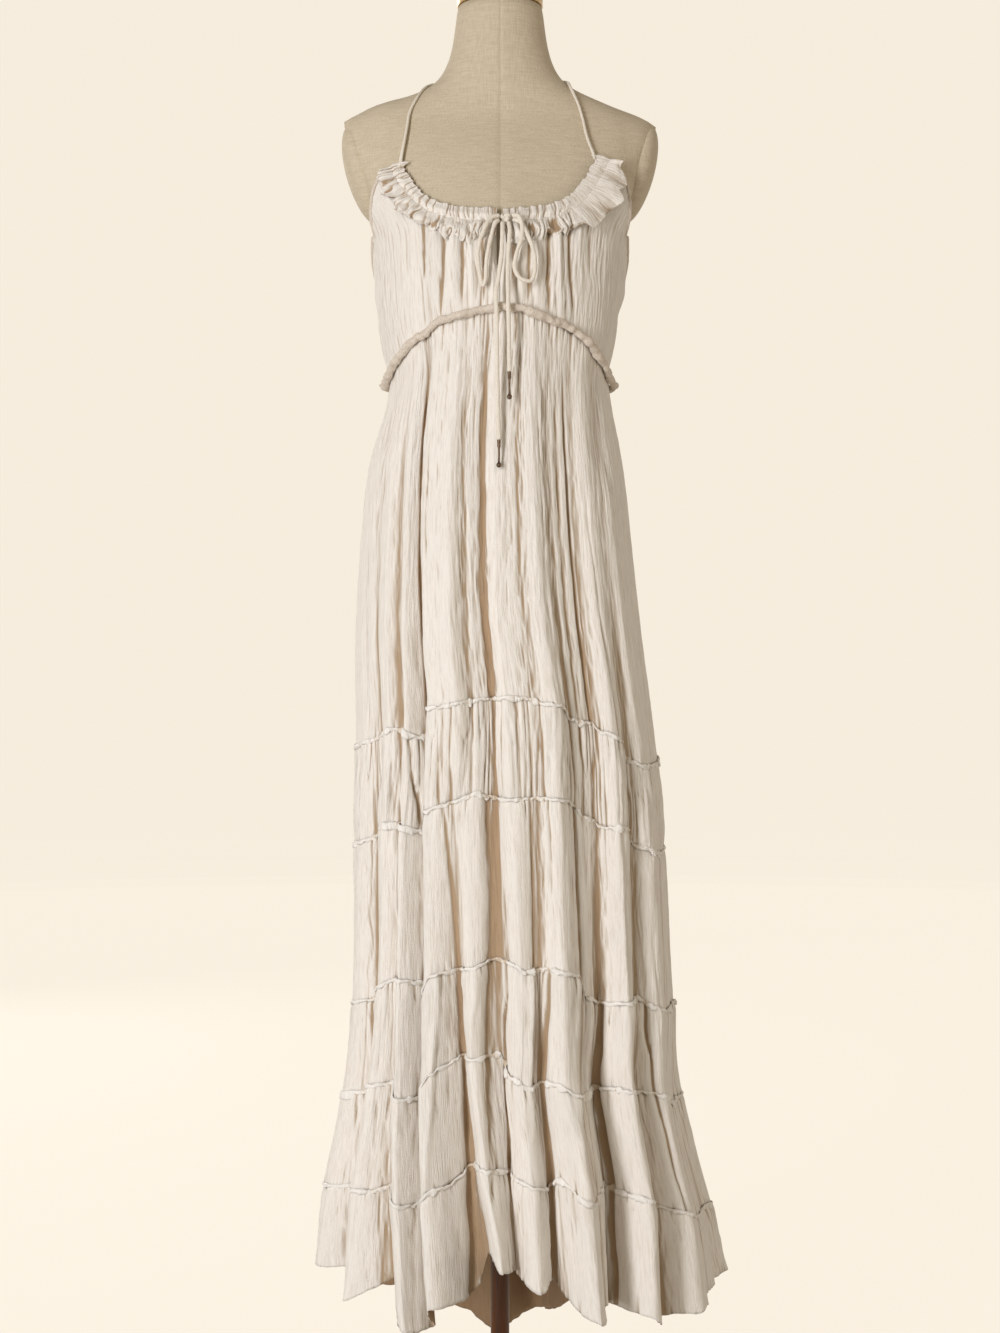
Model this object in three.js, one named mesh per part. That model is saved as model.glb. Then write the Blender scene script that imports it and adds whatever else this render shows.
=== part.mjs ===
// A tiered halter maxi dress of crinkled gauze, standing on a limbless dress form.
// Millimetres, +Z up, front towards -Y. The origin is the middle of the base's underside.
import * as THREE from "three";

// ---------- driving dimensions ----------
const SEAM_GAP = 0.3;
const CLOTH = 1.6;
const DEG = Math.PI / 180;
const SIDE_TURN = 90;
const SIDE_SEAM_TURN = 0.06;
const SLIT_TURN = 1.2;

const TORSO_SIDES = 40;
const ARM_PLATE = { top: 1512, topReach: 179, lean: 0.29, lowest: 1384, thickness: 6 };
const ARM_PLATE_OVAL = { height: 1452, halfHeight: 57, halfDepth: 38, centreY: 5, sides: 32 };
const NECK_CAP = { radius: 50.5, height: 12, dome: 16 };
const POLE = { radius: 11, sides: 24 };
const COLLAR = { radius: 25, height: 22 };
const BASE = { radius: 190, height: 28, edge: 8, sides: 32 };

const BODICE_ROWS = { front: 5, back: 2 };
const CASING = { height: 15, thickness: 3, lift: 0.6 };
const FRILL_END = 46;
const FRILL = { height: 24, lift: 1.2, flare: 5, wave: 2 };
const BINDING = { radius: 2, rise: 3.6, sides: 6 };
const PIPING = { radius: 5.2, sides: 6, lift: 3 };
const EDGING = { halfHeight: 3, thickness: 1.2, lift: 1.2 };
const STRAP_RADIUS = 2.8;
const CORD_RADIUS = 2;
const CORD_SIDES = 8;
const TIP = { neck: 1.2, shoulder: 2, ball: 3, length: 31 };
const KNOT = { x: 6.5, y: -123.4, z: 1388, halfWidth: 7, halfDepth: 4.6, halfHeight: 5.5 };

// ---------- tables ----------
// Turns the rows of a table into objects with named columns.
function table(columns, rows) {
  return rows.map((row) => Object.fromEntries(columns.map((name, i) => [name, row[i]])));
}

// The dress form's level sections: half width, reach to the front and to the back.
const FORM = table(["height", "halfWidth", "fore", "aft"], [
  [862, 150, 100, 112],
  [900, 157, 106, 118],
  [950, 159, 106, 121],
  [1000, 152, 102, 117],
  [1060, 130, 92, 101],
  [1120, 111, 85, 88],
  [1170, 108, 86, 84],
  [1215, 116, 94, 86],
  [1260, 128, 106, 91],
  [1300, 137, 117, 96],
  [1340, 144, 121, 100],
  [1385, 150, 112, 104],
  [1410, 163, 102, 105],
  [1440, 178, 90, 103],
  [1475, 190, 76, 96],
  [1502, 194, 62, 85],
  [1518, 181, 54, 76],
  [1533, 146, 51, 72],
  [1547, 112, 51, 69],
  [1562, 84, 53, 66],
  [1576, 70, 54, 62],
  [1594, 61, 54, 57],
  [1617, 55, 53, 53],
  [1660, 50, 50, 50],
]);

// How far the bodice stands off the form where it hangs from the bust.
const LOOSENESS = table(["height", "ease"], [
  [1206, 13],
  [1245, 13],
  [1285, 10],
  [1325, 2],
  [1345, 0],
  [1470, 0],
]);
const BUST_EASE = 3.5;
const BACK_EASE = 3;

// The bodice's upper edge on each half, and the low folds below it.
const NECKLINE = table(["turn", "left", "right", "foldLeft", "foldRight"], [
  [SLIT_TURN, 1399, 1399, 0, 0],
  [8, 1400, 1400, 2, 2],
  [15, 1402, 1402, 4, 1],
  [21, 1405, 1405, 1, 4],
  [27, 1412, 1414, 2, 1],
  [32, 1428, 1434, 0, 0],
  [36, 1450, 1458, 0, 0],
  [40, 1456, 1465, 0, 0],
  [46, 1451, 1458, 0, 0],
  [53, 1437, 1441, 0, 0],
  [59, 1422, 1425, 0, 0],
  [66, 1405, 1407, 0, 0],
  [74, 1387, 1388, 0, 0],
  [82, 1371, 1371, 0, 0],
  [SIDE_TURN, 1356, 1356, 0, 0],
]);
const BACK_EDGE = table(["turn", "height"], [
  [90, 1356],
  [105, 1326],
  [120, 1300],
  [135, 1281],
  [150, 1268],
  [165, 1261],
  [180, 1258],
]);

// The skirt's levels, each a ring that is higher in front than at the sides and the back.
const LEVELS = table(["step", "front", "side", "back", "halfWidth", "centre", "fore", "aft"], [
  [0, 1285, 1214, 1206, 132, 0, 125, 92],
  [1, 1130, 1100, 1090, 152, -5, 132, 112],
  [2, 960, 925, 900, 168, -2, 142, 135],
  [3, 850, 785, 740, 177, 8, 150, 142],
  [4, 738, 674, 630, 180, 11, 156, 155],
  [5, 553, 490, 440, 184, 16, 172, 178],
  [6, 451, 372, 330, 190, 14, 182, 194],
  [7, 327, 256, 205, 216, 20, 196, 215],
  [8, 192, 178, 68, 229, 23, 208, 235],
]);

// The fold lines down the skirt: where each one runs, and how far it stands out or falls in.
const FOLD_STOPS = [0, 3, 5, 8];
const FOLD_COLUMNS = ["turnTop", "turnBand", "turnThird", "turnHem", "liftTop", "liftBand", "liftThird", "liftHem"];
const FRONT_FOLDS = table(FOLD_COLUMNS, [
  [-90, -90, -90, -90, 0, 0, 0, 0],
  [-70, -66, -74, -70, 0, 2, 8, 14],
  [-60, -57, -62, -60, 0, -3, -10, -20],
  [-52, -48, -51, -51, 0, 4, 10, 18],
  [-46, -43, -46, -40, 0, -2, -6, -8],
  [-41, -39, -41, -29, 0, 5, 12, 26],
  [-36, -34, -35.5, -26, -3, -24, -28, -8],
  [-31, -28, -30, -22.5, 1, 8, 14, 24],
  [-20, -18, -21, -12, 0, 2, -12, -36],
  [-12, -12, -15, -5, 1, 4, 6, 14],
  [-6, -6.5, -5, -1.5, -1, -3, -10, -16],
  [2, 2, 2, 4.5, 1, 4, 8, 12],
  [9, 9, 9, 10.5, 0, 0, -5, -14],
  [14, 15, 16, 19, 1, 5, 14, 28],
  [24, 25, 26, 25, 0, 0, -6, -6],
  [34, 35.5, 35, 30, -2, -13, -20, -30],
  [42, 42, 42, 37, 1, 4, 8, 16],
  [52, 53, 51, 46, -1, -6, -8, -10],
  [62, 64, 60, 57, 0, 3, 8, 12],
  [75, 75, 75, 74, 0, -1, -2, -4],
  [90, 90, 90, 90, 0, 0, 0, 0],
]);
const BACK_FOLDS = table(FOLD_COLUMNS, [
  [90, 90, 90, 90, 0, 0, 0, 0],
  [103, 101, 100, 99, 0, 3, 9, 17],
  [114, 113, 112, 110, 0, -4, -11, -22],
  [126, 127, 125, 122, 1, 4, 10, 20],
  [140, 139, 141, 137, 0, -6, -14, -26],
  [151, 152, 153, 151, 1, 5, 12, 22],
  [163, 164, 166, 163, 0, -3, -9, -18],
  [176, 177, 176, 175, 1, 6, 13, 25],
  [190, 189, 187, 188, 0, -5, -13, -28],
  [201, 202, 203, 204, 1, 4, 8, 16],
  [214, 213, 212, 214, 0, -3, -10, -20],
  [227, 228, 226, 227, 1, 5, 13, 24],
  [241, 240, 242, 241, 0, -4, -9, -20],
  [256, 256, 257, 256, 0, 2, 7, 12],
  [270, 270, 270, 270, 0, 0, 0, 0],
]);

// The cut pieces of the skirt: the levels they lie between and the rows of facets in each.
const SKIRT_PIECES = table(["name", "from", "to", "rows"], [
  ["skirt_upper", 0, 3, 7],
  ["skirt_band", 3, 4, 1],
  ["skirt_tier_three", 4, 5, 2],
  ["skirt_tier_four", 5, 6, 1],
  ["skirt_tier_five", 6, 7, 1],
  ["skirt_tier_six", 7, 8, 2],
]);
const EDGINGS = table(["name", "step"], [
  ["edging_band_top", 3],
  ["edging_band_foot", 4],
  ["edging_tier_four", 5],
  ["edging_tier_five", 6],
  ["edging_tier_six", 7],
]);

// Routes of the strap and of the drawstring, each a short list set by hand.
const STRAP_ROUTE = table(["turn", "height"], [
  [-37.5, 1463], [-35, 1480], [-34.5, 1500], [-39, 1517], [-47, 1531], [-64, 1545], [-82, 1556],
  [-100, 1568], [-122, 1579], [-150, 1586], [-180, 1588], [-210, 1586], [-238, 1579],
  [-260, 1568], [-280, 1556], [-299, 1544], [-315, 1530], [-322, 1516], [-328, 1500], [-326, 1484],
  [-324.5, 1471],
]);
const LEFT_LOOP_ROUTE = [
  [-1.3, -125, 1390], [-9, -128, 1387], [-17, -133, 1375], [-24.5, -136, 1348], [-22, -137, 1318],
  [-18.5, -137.5, 1309], [-16, -137.5, 1316], [-15, -137, 1338], [-10, -132.5, 1364],
  [-5.5, -127.5, 1381], [-1.3, -125, 1384.6],
];
const RIGHT_LOOP_ROUTE = [
  [14.4, -125, 1390.5], [21, -128, 1388], [25, -133, 1370], [17.5, -136, 1341], [16.5, -137, 1327],
  [23, -138, 1317], [34, -137, 1314], [39, -136, 1326], [38, -135, 1346], [31, -133.5, 1366],
  [23.5, -127, 1381.5], [14.4, -124.5, 1385.5],
];
const LEFT_END_ROUTE = [
  [3, -124.5, 1382.4], [2.6, -131.5, 1371], [1.8, -136.5, 1347], [-1.5, -140, 1318], [-4.5, -144.5, 1300],
  [-4, -146, 1280], [-3.4, -145.5, 1250], [-3.2, -144, 1215], [-2.4, -143.5, 1175], [-1.2, -143.5, 1136],
];
const RIGHT_END_ROUTE = [
  [10, -124.5, 1382.4], [10.8, -131.5, 1371], [9.4, -136.5, 1347], [8.6, -141, 1316], [9, -145, 1296],
  [9.4, -146, 1275], [10, -145.5, 1245], [10.6, -144, 1212],
];

// ---------- materials ----------
function finish(color, roughness, metalness = 0) {
  return new THREE.MeshStandardMaterial({ color, roughness, metalness, side: THREE.DoubleSide });
}
const GAUZE = finish(0xede5d6, 0.9);
const RIBBON = finish(0xe6dccb, 0.85);
const LINEN = finish(0xc7b594, 0.88);
const BRASS = finish(0xa98a55, 0.35, 0.9);
const WOOD = finish(0x54290f, 0.45);
const DARK_METAL = finish(0x4a3b30, 0.4, 0.8);

// ---------- curves through a table ----------
// Slope of a column at one row, from the rows on each side.
function slope(rows, key, column, i) {
  const before = rows[Math.max(i - 1, 0)];
  const after = rows[Math.min(i + 1, rows.length - 1)];
  return (after[column] - before[column]) / (after[key] - before[key]);
}

// A column's value at a place between rows, on a smooth curve through them.
function along(rows, key, place, column) {
  const last = rows.length - 2;
  const found = rows.findIndex((row, k) => k > 0 && place <= row[key]) - 1;
  const i = found < 0 ? (place > rows[0][key] ? last : 0) : found;
  const span = rows[i + 1][key] - rows[i][key];
  const t = Math.min(Math.max((place - rows[i][key]) / span, 0), 1);
  const cubic = (t * t * (3 - 2 * t));
  const leave = t * (1 - t) * (1 - t) * span * slope(rows, key, column, i);
  const arrive = t * t * (1 - t) * span * slope(rows, key, column, i + 1);
  return rows[i][column] * (1 - cubic) + rows[i + 1][column] * cubic + leave - arrive;
}

function mix(a, b, t) {
  return a + (b - a) * t;
}

// ---------- the form's surface ----------
function armPlateReach(height) {
  return ARM_PLATE.topReach - (ARM_PLATE.top - height) * ARM_PLATE.lean;
}

// A point on the torso at a height, a turn round from the front, flat under the arm plates.
function formPoint(turn, height) {
  const sine = Math.sin(turn * DEG);
  const cosine = Math.cos(turn * DEG);
  const depth = along(FORM, "height", height, cosine > 0 ? "fore" : "aft");
  let x = along(FORM, "height", height, "halfWidth") * sine;
  if (height > ARM_PLATE.lowest) {
    const reach = armPlateReach(height);
    x = Math.min(Math.max(x, -reach), reach);
  }
  return new THREE.Vector3(x, -depth * cosine, height);
}

// A point standing off the torso, square to its surface.
function aboveForm(turn, height, distance) {
  const point = formPoint(turn, height);
  const round = formPoint(turn + 1, height).sub(formPoint(turn - 1, height));
  const up = formPoint(turn, height + 2).sub(formPoint(turn, height - 2));
  return point.addScaledVector(round.cross(up).normalize(), distance);
}

// ---------- the garment's surface ----------
// Looseness is full round the front and fades towards the middle of the back.
function bodiceEase(turn, height) {
  const cosine = Math.cos(turn * DEG);
  const hang = along(LOOSENESS, "height", height, "ease");
  const behind = Math.min(cosine, 0) ** 2;
  return mix(BUST_EASE + hang, BACK_EASE, behind);
}

function bodicePoint(turn, height, lift = 0) {
  const point = formPoint(turn, height);
  const out = bodiceEase(turn, height) + lift;
  point.x += Math.sin(turn * DEG) * out;
  point.y -= Math.cos(turn * DEG) * out;
  return point;
}

function ringHeight(step, turn) {
  const cosine = Math.cos(turn * DEG);
  const end = along(LEVELS, "step", step, cosine > 0 ? "front" : "back");
  return mix(along(LEVELS, "step", step, "side"), end, cosine * cosine);
}

// A point on the skirt: 0 is the empire seam and 8 the hem, with the folds' lift added outwards.
function skirtPoint(turn, step, lift) {
  const sine = Math.sin(turn * DEG);
  const cosine = Math.cos(turn * DEG);
  const height = ringHeight(step, turn);
  const depth = along(LEVELS, "step", step, cosine > 0 ? "fore" : "aft");
  const halfWidth = along(LEVELS, "step", step, "halfWidth");
  const centre = along(LEVELS, "step", step, "centre");
  const hanging = new THREE.Vector3(centre + halfWidth * sine, -depth * cosine, height);
  const top = bodicePoint(turn, ringHeight(0, turn));
  const fromBodice = Math.max(1 - step, 0) ** 2;
  hanging.x = mix(hanging.x, top.x, fromBodice) + lift * sine;
  hanging.y = mix(hanging.y, top.y, fromBodice) - lift * cosine;
  return hanging;
}

// Where a fold line runs at a step: its turn and its lift.
function foldAt(fold, step) {
  const columns = [["turnTop", "liftTop"], ["turnBand", "liftBand"], ["turnThird", "liftThird"], ["turnHem", "liftHem"]];
  const stops = columns.map(([turn, lift], i) => ({ step: FOLD_STOPS[i], turn: fold[turn], lift: fold[lift] }));
  return { turn: along(stops, "step", step, "turn"), lift: along(stops, "step", step, "lift") };
}

// One row of skirt points, with two facets from each fold line to the next in front and one behind.
function skirtRow(folds, step) {
  const lines = folds.map((fold) => foldAt(fold, step));
  lines[0].turn += SIDE_SEAM_TURN;
  lines.at(-1).turn -= SIDE_SEAM_TURN;
  const row = [];
  lines.forEach((line, i) => {
    if (i > 0 && folds === FRONT_FOLDS) {
      const before = lines[i - 1];
      row.push(skirtPoint(mix(before.turn, line.turn, 0.5), step, mix(before.lift, line.lift, 0.5)));
    }
    row.push(skirtPoint(line.turn, step, line.lift));
  });
  return row;
}

// ---------- closed solids ----------
function solid(points, faces) {
  const geometry = new THREE.BufferGeometry();
  const flat = points.flatMap((p) => [p.x, p.y, p.z]);
  geometry.setAttribute("position", new THREE.Float32BufferAttribute(flat, 3));
  geometry.setIndex(faces);
  geometry.computeVertexNormals();
  return geometry;
}

// The level direction that points out of a row at one of its points, square to the seams at its ends.
function outward(row, i) {
  const { x, y } = row[i];
  if (Math.abs(y) < 1) {
    return new THREE.Vector3(Math.sign(x), 0, 0);
  }
  if (Math.abs(x) < 4 && (i === 0 || i === row.length - 1)) {
    return new THREE.Vector3(0, Math.sign(y), 0);
  }
  const before = row[Math.max(i - 1, 0)];
  const after = row[Math.min(i + 1, row.length - 1)];
  return new THREE.Vector3(after.y - before.y, before.x - after.x, 0).normalize();
}

function movedOut(rows, distance) {
  return rows.map((row) => row.map((p, i) => p.clone().addScaledVector(outward(row, i), distance)));
}

// A wall between an outer and an inner grid. Rows run downwards and columns to the right.
function wall(outer, inner) {
  const rows = outer.length - 1;
  const columns = outer[0].length - 1;
  const at = (side, row, column) => (side * (rows + 1) + row) * (columns + 1) + column;
  const faces = [];
  const quad = (a, b, c, d) => faces.push(a, b, c, a, c, d);
  for (let r = 0; r < rows; r += 1) {
    for (let c = 0; c < columns; c += 1) {
      quad(at(0, r, c), at(0, r + 1, c), at(0, r + 1, c + 1), at(0, r, c + 1));
      quad(at(1, r, c), at(1, r, c + 1), at(1, r + 1, c + 1), at(1, r + 1, c));
    }
    quad(at(0, r + 1, 0), at(0, r, 0), at(1, r, 0), at(1, r + 1, 0));
    quad(at(0, r, columns), at(0, r + 1, columns), at(1, r + 1, columns), at(1, r, columns));
  }
  for (let c = 0; c < columns; c += 1) {
    quad(at(0, 0, c), at(0, 0, c + 1), at(1, 0, c + 1), at(1, 0, c));
    quad(at(0, rows, c), at(1, rows, c), at(1, rows, c + 1), at(0, rows, c + 1));
  }
  return solid([...outer.flat(), ...inner.flat()], faces);
}

// A cloth wall whose outer face is the given rows.
function cloth(rows, thickness = CLOTH) {
  return wall(rows, movedOut(rows, -thickness));
}

// A closed body through rings of equal count, listed upwards, with a flat end at each.
function loft(rings) {
  const count = rings[0].length;
  const points = rings.flat();
  const faces = [];
  for (let r = 0; r < rings.length - 1; r += 1) {
    for (let i = 0; i < count; i += 1) {
      const next = (i + 1) % count;
      const low = r * count;
      const high = low + count;
      faces.push(low + i, low + next, high + next, low + i, high + next, high + i);
    }
  }
  for (const upper of [false, true]) {
    const ring = upper ? rings.at(-1) : rings[0];
    const start = upper ? (rings.length - 1) * count : 0;
    const tip = points.push(ring.reduce((sum, p) => sum.add(p), new THREE.Vector3()).divideScalar(count)) - 1;
    for (let i = 0; i < count; i += 1) {
      const pair = [start + i, start + ((i + 1) % count)];
      faces.push(...(upper ? pair : pair.reverse()), tip);
    }
  }
  return solid(points, faces);
}

// A round tube along points, cut square at both ends or along the end directions given.
function tube(route, radius, sides, [first, last] = []) {
  const rings = route.map((centre, i) => {
    const before = route[Math.max(i - 1, 0)];
    const after = route[Math.min(i + 1, route.length - 1)];
    const given = (i === 0 && first) || (i === route.length - 1 && last);
    return { centre, direction: given || after.clone().sub(before).normalize() };
  });
  let across = new THREE.Vector3(0, 0, 1);
  if (Math.abs(rings[0].direction.z) > 0.8) {
    across.set(1, 0, 0);
  }
  const loops = rings.map(({ centre, direction }) => {
    across.addScaledVector(direction, -across.dot(direction)).normalize();
    const beside = direction.clone().cross(across);
    return Array.from({ length: sides }, (_, k) => {
      const angle = (k * 2 * Math.PI) / sides;
      const point = centre.clone().addScaledVector(across, Math.cos(angle) * radius);
      return point.addScaledVector(beside, Math.sin(angle) * radius);
    });
  });
  return loft(loops);
}

function smoothRoute(places, steps) {
  const curve = new THREE.CatmullRomCurve3(places.map((p) => new THREE.Vector3(...p)), false, "centripetal");
  return curve.getSpacedPoints(steps);
}

// A turned body from its profile of radius and height, which starts and ends on the axis.
function turned(profile, sides) {
  const geometry = new THREE.LatheGeometry(profile.map(([r, z]) => new THREE.Vector2(r, z)), sides);
  geometry.rotateX(Math.PI / 2);
  return geometry;
}

// ---------- the object ----------
const dress = new THREE.Group();
dress.name = "maxi_dress_on_dress_form";

function add(name, geometry, material) {
  const mesh = new THREE.Mesh(geometry, material);
  mesh.name = name;
  dress.add(mesh);
  return mesh;
}

function addForm() {
  const rings = FORM.map(({ height }) => Array.from({ length: TORSO_SIDES }, (_, i) => (
    formPoint((i * 360) / TORSO_SIDES, height)
  )));
  add("form_torso", loft(rings), LINEN);
  addArmPlates();
  const neckTop = FORM.at(-1).height + SEAM_GAP;
  const { radius, height, dome } = NECK_CAP;
  const cap = [[0, 0], [radius, 0], [radius, height], [radius * 0.8, height + dome * 0.5],
    [radius * 0.4, height + dome * 0.9], [0, height + dome]];
  add("form_neck_cap", turned(cap, POLE.sides), BRASS).position.z = neckTop;
}

// Flat ovals that close the armholes, leaning in towards the waist.
function addArmPlates() {
  const { height, halfHeight, halfDepth, centreY, sides } = ARM_PLATE_OVAL;
  for (const [name, side] of [["form_arm_plate_left", -1], ["form_arm_plate_right", 1]]) {
    const ovals = [SEAM_GAP, SEAM_GAP + ARM_PLATE.thickness].map((out) => (
      Array.from({ length: sides }, (_, i) => {
        const angle = (side * i * 2 * Math.PI) / sides;
        const z = height + halfHeight * Math.sin(angle);
        return new THREE.Vector3(side * (armPlateReach(z) + out), centreY + halfDepth * Math.cos(angle), z);
      })
    ));
    add(name, loft(ovals), LINEN);
  }
}

function addStand() {
  const { radius, height, edge } = BASE;
  const foot = [[0, 0], [radius, 0], [radius, height - edge], [radius - edge, height], [0, height]];
  add("stand_base", turned(foot, BASE.sides), WOOD);
  const ring = [[0, 0], [COLLAR.radius, 0], [COLLAR.radius * 0.8, COLLAR.height], [0, COLLAR.height]];
  const collarFoot = height + SEAM_GAP;
  add("stand_collar", turned(ring, POLE.sides), BRASS).position.z = collarFoot;
  const poleFoot = collarFoot + COLLAR.height + SEAM_GAP;
  const poleTop = FORM[0].height - SEAM_GAP;
  const pole = new THREE.CylinderGeometry(POLE.radius, POLE.radius, poleTop - poleFoot, POLE.sides);
  pole.rotateX(Math.PI / 2);
  add("stand_pole", pole, WOOD).position.z = (poleFoot + poleTop) / 2;
}

// Turns along a half bodice, with one more between each two rows of its table.
function withMiddles(turns) {
  return turns.flatMap((turn, i) => (i === 0 ? [turn] : [mix(turns[i - 1], turn, 0.5), turn]));
}

function addBodice() {
  const foot = (turn) => ringHeight(0, turn) + SEAM_GAP;
  const panel = (turns, rows, top, lift) => Array.from({ length: rows + 1 }, (_, r) => turns.map((turn) => {
    const share = r / rows;
    const fullness = Math.sin(Math.PI * Math.min(share * 0.9 + 0.1, 1));
    return bodicePoint(turn, mix(top(turn), foot(turn), share), lift(turn) * fullness);
  }));
  for (const [name, side] of [["left", -1], ["right", 1]]) {
    const turns = NECKLINE.map(({ turn }) => side * Math.min(turn, SIDE_TURN - SIDE_SEAM_TURN));
    turns.sort((a, b) => a - b);
    const top = (turn) => along(NECKLINE, "turn", Math.abs(turn), name);
    const fold = side < 0 ? "foldLeft" : "foldRight";
    const lift = (turn) => along(NECKLINE, "turn", Math.abs(turn), fold);
    add(`bodice_front_${name}`, cloth(panel(turns, BODICE_ROWS.front, top, lift)), GAUZE);
  }
  const backTurns = [];
  for (let turn = SIDE_TURN; turn <= 360 - SIDE_TURN; turn += 10) {
    backTurns.push(Math.min(Math.max(turn, SIDE_TURN + SIDE_SEAM_TURN), 360 - SIDE_TURN - SIDE_SEAM_TURN));
  }
  const backTop = (turn) => along(BACK_EDGE, "turn", turn > 180 ? 360 - turn : turn, "height");
  add("bodice_back", cloth(panel(backTurns, BODICE_ROWS.back, backTop, () => 0)), GAUZE);
}

// The gathered channel along the neckline, and the frill that falls from it.
function addNeckline() {
  for (const [name, side] of [["left", -1], ["right", 1]]) {
    const turns = withMiddles(NECKLINE.map(({ turn }) => turn).filter((turn) => turn <= FRILL_END));
    const across = turns.map((turn) => side * turn).sort((a, b) => a - b);
    const edge = (turn) => along(NECKLINE, "turn", Math.abs(turn), name);
    const fold = (turn) => along(NECKLINE, "turn", Math.abs(turn), side < 0 ? "foldLeft" : "foldRight");
    const strip = (drop, lift) => across.map((turn, i) => (
      bodicePoint(turn, edge(turn) - drop, lift(i) + fold(turn))
    ));
    const casingLift = () => CASING.lift + CASING.thickness;
    const channel = [strip(-1, casingLift), strip(CASING.height / 2, casingLift), strip(CASING.height, casingLift)];
    add(`neck_casing_${name}`, cloth(channel, CASING.thickness), GAUZE);
    const top = CASING.height + SEAM_GAP;
    const wave = (i) => (i % 2 === 0 ? 1 : -1) * FRILL.wave;
    const frill = [0, 0.5, 1].map((share) => strip(top + FRILL.height * share, (i) => (
      FRILL.lift + CLOTH + FRILL.flare * share + wave(i) * share
    )));
    add(`neck_frill_${name}`, cloth(frill), GAUZE);
  }
}

// Rolled edges that stand on the bodice from the frill's end round to the middle of the back.
function addBindings() {
  for (const [name, side] of [["left", -1], ["right", 1]]) {
    const front = NECKLINE.filter(({ turn }) => turn > FRILL_END);
    const edge = [...front.map((row) => [row.turn, row[name]]), ...BACK_EDGE.slice(1).map((row) => [row.turn, row.height])];
    const route = edge.map(([turn, top]) => {
      const round = side * Math.min(turn, 180 - SIDE_SEAM_TURN);
      return bodicePoint(round, top + BINDING.rise, BINDING.radius - CLOTH / 2);
    });
    const ends = [undefined, new THREE.Vector3(-side, 0, 0)];
    add(`armhole_binding_${name}`, tube(route, BINDING.radius, BINDING.sides, ends), GAUZE);
  }
}

function addPiping() {
  const out = PIPING.radius + PIPING.lift;
  for (const [name, folds, way] of [["front", FRONT_FOLDS, -1], ["back", BACK_FOLDS, 1]]) {
    const seam = skirtRow(folds, 0).map((p) => p.setZ(p.z + SEAM_GAP / 2));
    const ends = [new THREE.Vector3(0, way, 0), new THREE.Vector3(0, -way, 0)];
    add(`empire_piping_${name}`, tube(movedOut([seam], out)[0], PIPING.radius, PIPING.sides, ends), GAUZE);
  }
}

function addSkirt() {
  for (const { name, from, to, rows } of SKIRT_PIECES) {
    for (const [half, folds] of [["front", FRONT_FOLDS], ["back", BACK_FOLDS]]) {
      const grid = Array.from({ length: rows + 1 }, (_, r) => skirtRow(folds, mix(from, to, r / rows)));
      grid[0].forEach((p) => p.setZ(p.z - SEAM_GAP / 2));
      grid.at(-1).forEach((p) => p.setZ(p.z + SEAM_GAP / 2));
      add(`${name}_${half}`, cloth(grid), GAUZE);
    }
  }
}

// Raw ruffled edges that stand on the tier seams.
function addEdgings() {
  for (const { name, step } of EDGINGS) {
    for (const [half, folds] of [["front", FRONT_FOLDS], ["back", BACK_FOLDS]]) {
      const seam = skirtRow(folds, step);
      const grid = [EDGING.halfHeight, -EDGING.halfHeight].map((rise) => (
        seam.map((p) => p.clone().setZ(p.z + rise))
      ));
      const outer = movedOut(grid, EDGING.lift + EDGING.thickness);
      add(`${name}_${half}`, cloth(outer, EDGING.thickness), GAUZE);
    }
  }
}

function addStrap() {
  const out = STRAP_RADIUS + 3 * SEAM_GAP;
  const route = STRAP_ROUTE.map(({ turn, height }) => aboveForm(turn, height, out).toArray());
  add("halter_strap", tube(smoothRoute(route, 36), STRAP_RADIUS, 6), RIBBON);
}

// A bead on a thin shank, hung below the end of a drawstring.
function addTip(name, route) {
  const { neck, shoulder, ball, length } = TIP;
  const profile = [[0, 0], [shoulder, 0], [neck, -length * 0.25], [neck * 1.3, -length + 2 * ball],
    [ball * 0.75, -length + 1.7 * ball], [ball, -length + ball], [ball * 0.75, -length + 0.3 * ball], [0, -length]];
  const [x, y, z] = route.at(-1);
  add(name, turned(profile.reverse(), 10), DARK_METAL).position.set(x, y, z - SEAM_GAP);
}

function addDrawstring() {
  const knot = new THREE.IcosahedronGeometry(1, 1);
  knot.scale(KNOT.halfWidth, KNOT.halfDepth, KNOT.halfHeight);
  add("drawstring_knot", knot, RIBBON).position.set(KNOT.x, KNOT.y, KNOT.z);
  add("bow_loop_left", tube(smoothRoute(LEFT_LOOP_ROUTE, 26), CORD_RADIUS, CORD_SIDES), RIBBON);
  add("bow_loop_right", tube(smoothRoute(RIGHT_LOOP_ROUTE, 28), CORD_RADIUS, CORD_SIDES), RIBBON);
  add("drawstring_end_left", tube(smoothRoute(LEFT_END_ROUTE, 22), CORD_RADIUS, CORD_SIDES), RIBBON);
  add("drawstring_end_right", tube(smoothRoute(RIGHT_END_ROUTE, 16), CORD_RADIUS, CORD_SIDES), RIBBON);
  addTip("drawstring_tip_left", LEFT_END_ROUTE);
  addTip("drawstring_tip_right", RIGHT_END_ROUTE);
}

addForm();
addStand();
addBodice();
addNeckline();
addBindings();
addPiping();
addSkirt();
addEdgings();
addStrap();
addDrawstring();

export default dress;
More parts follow.
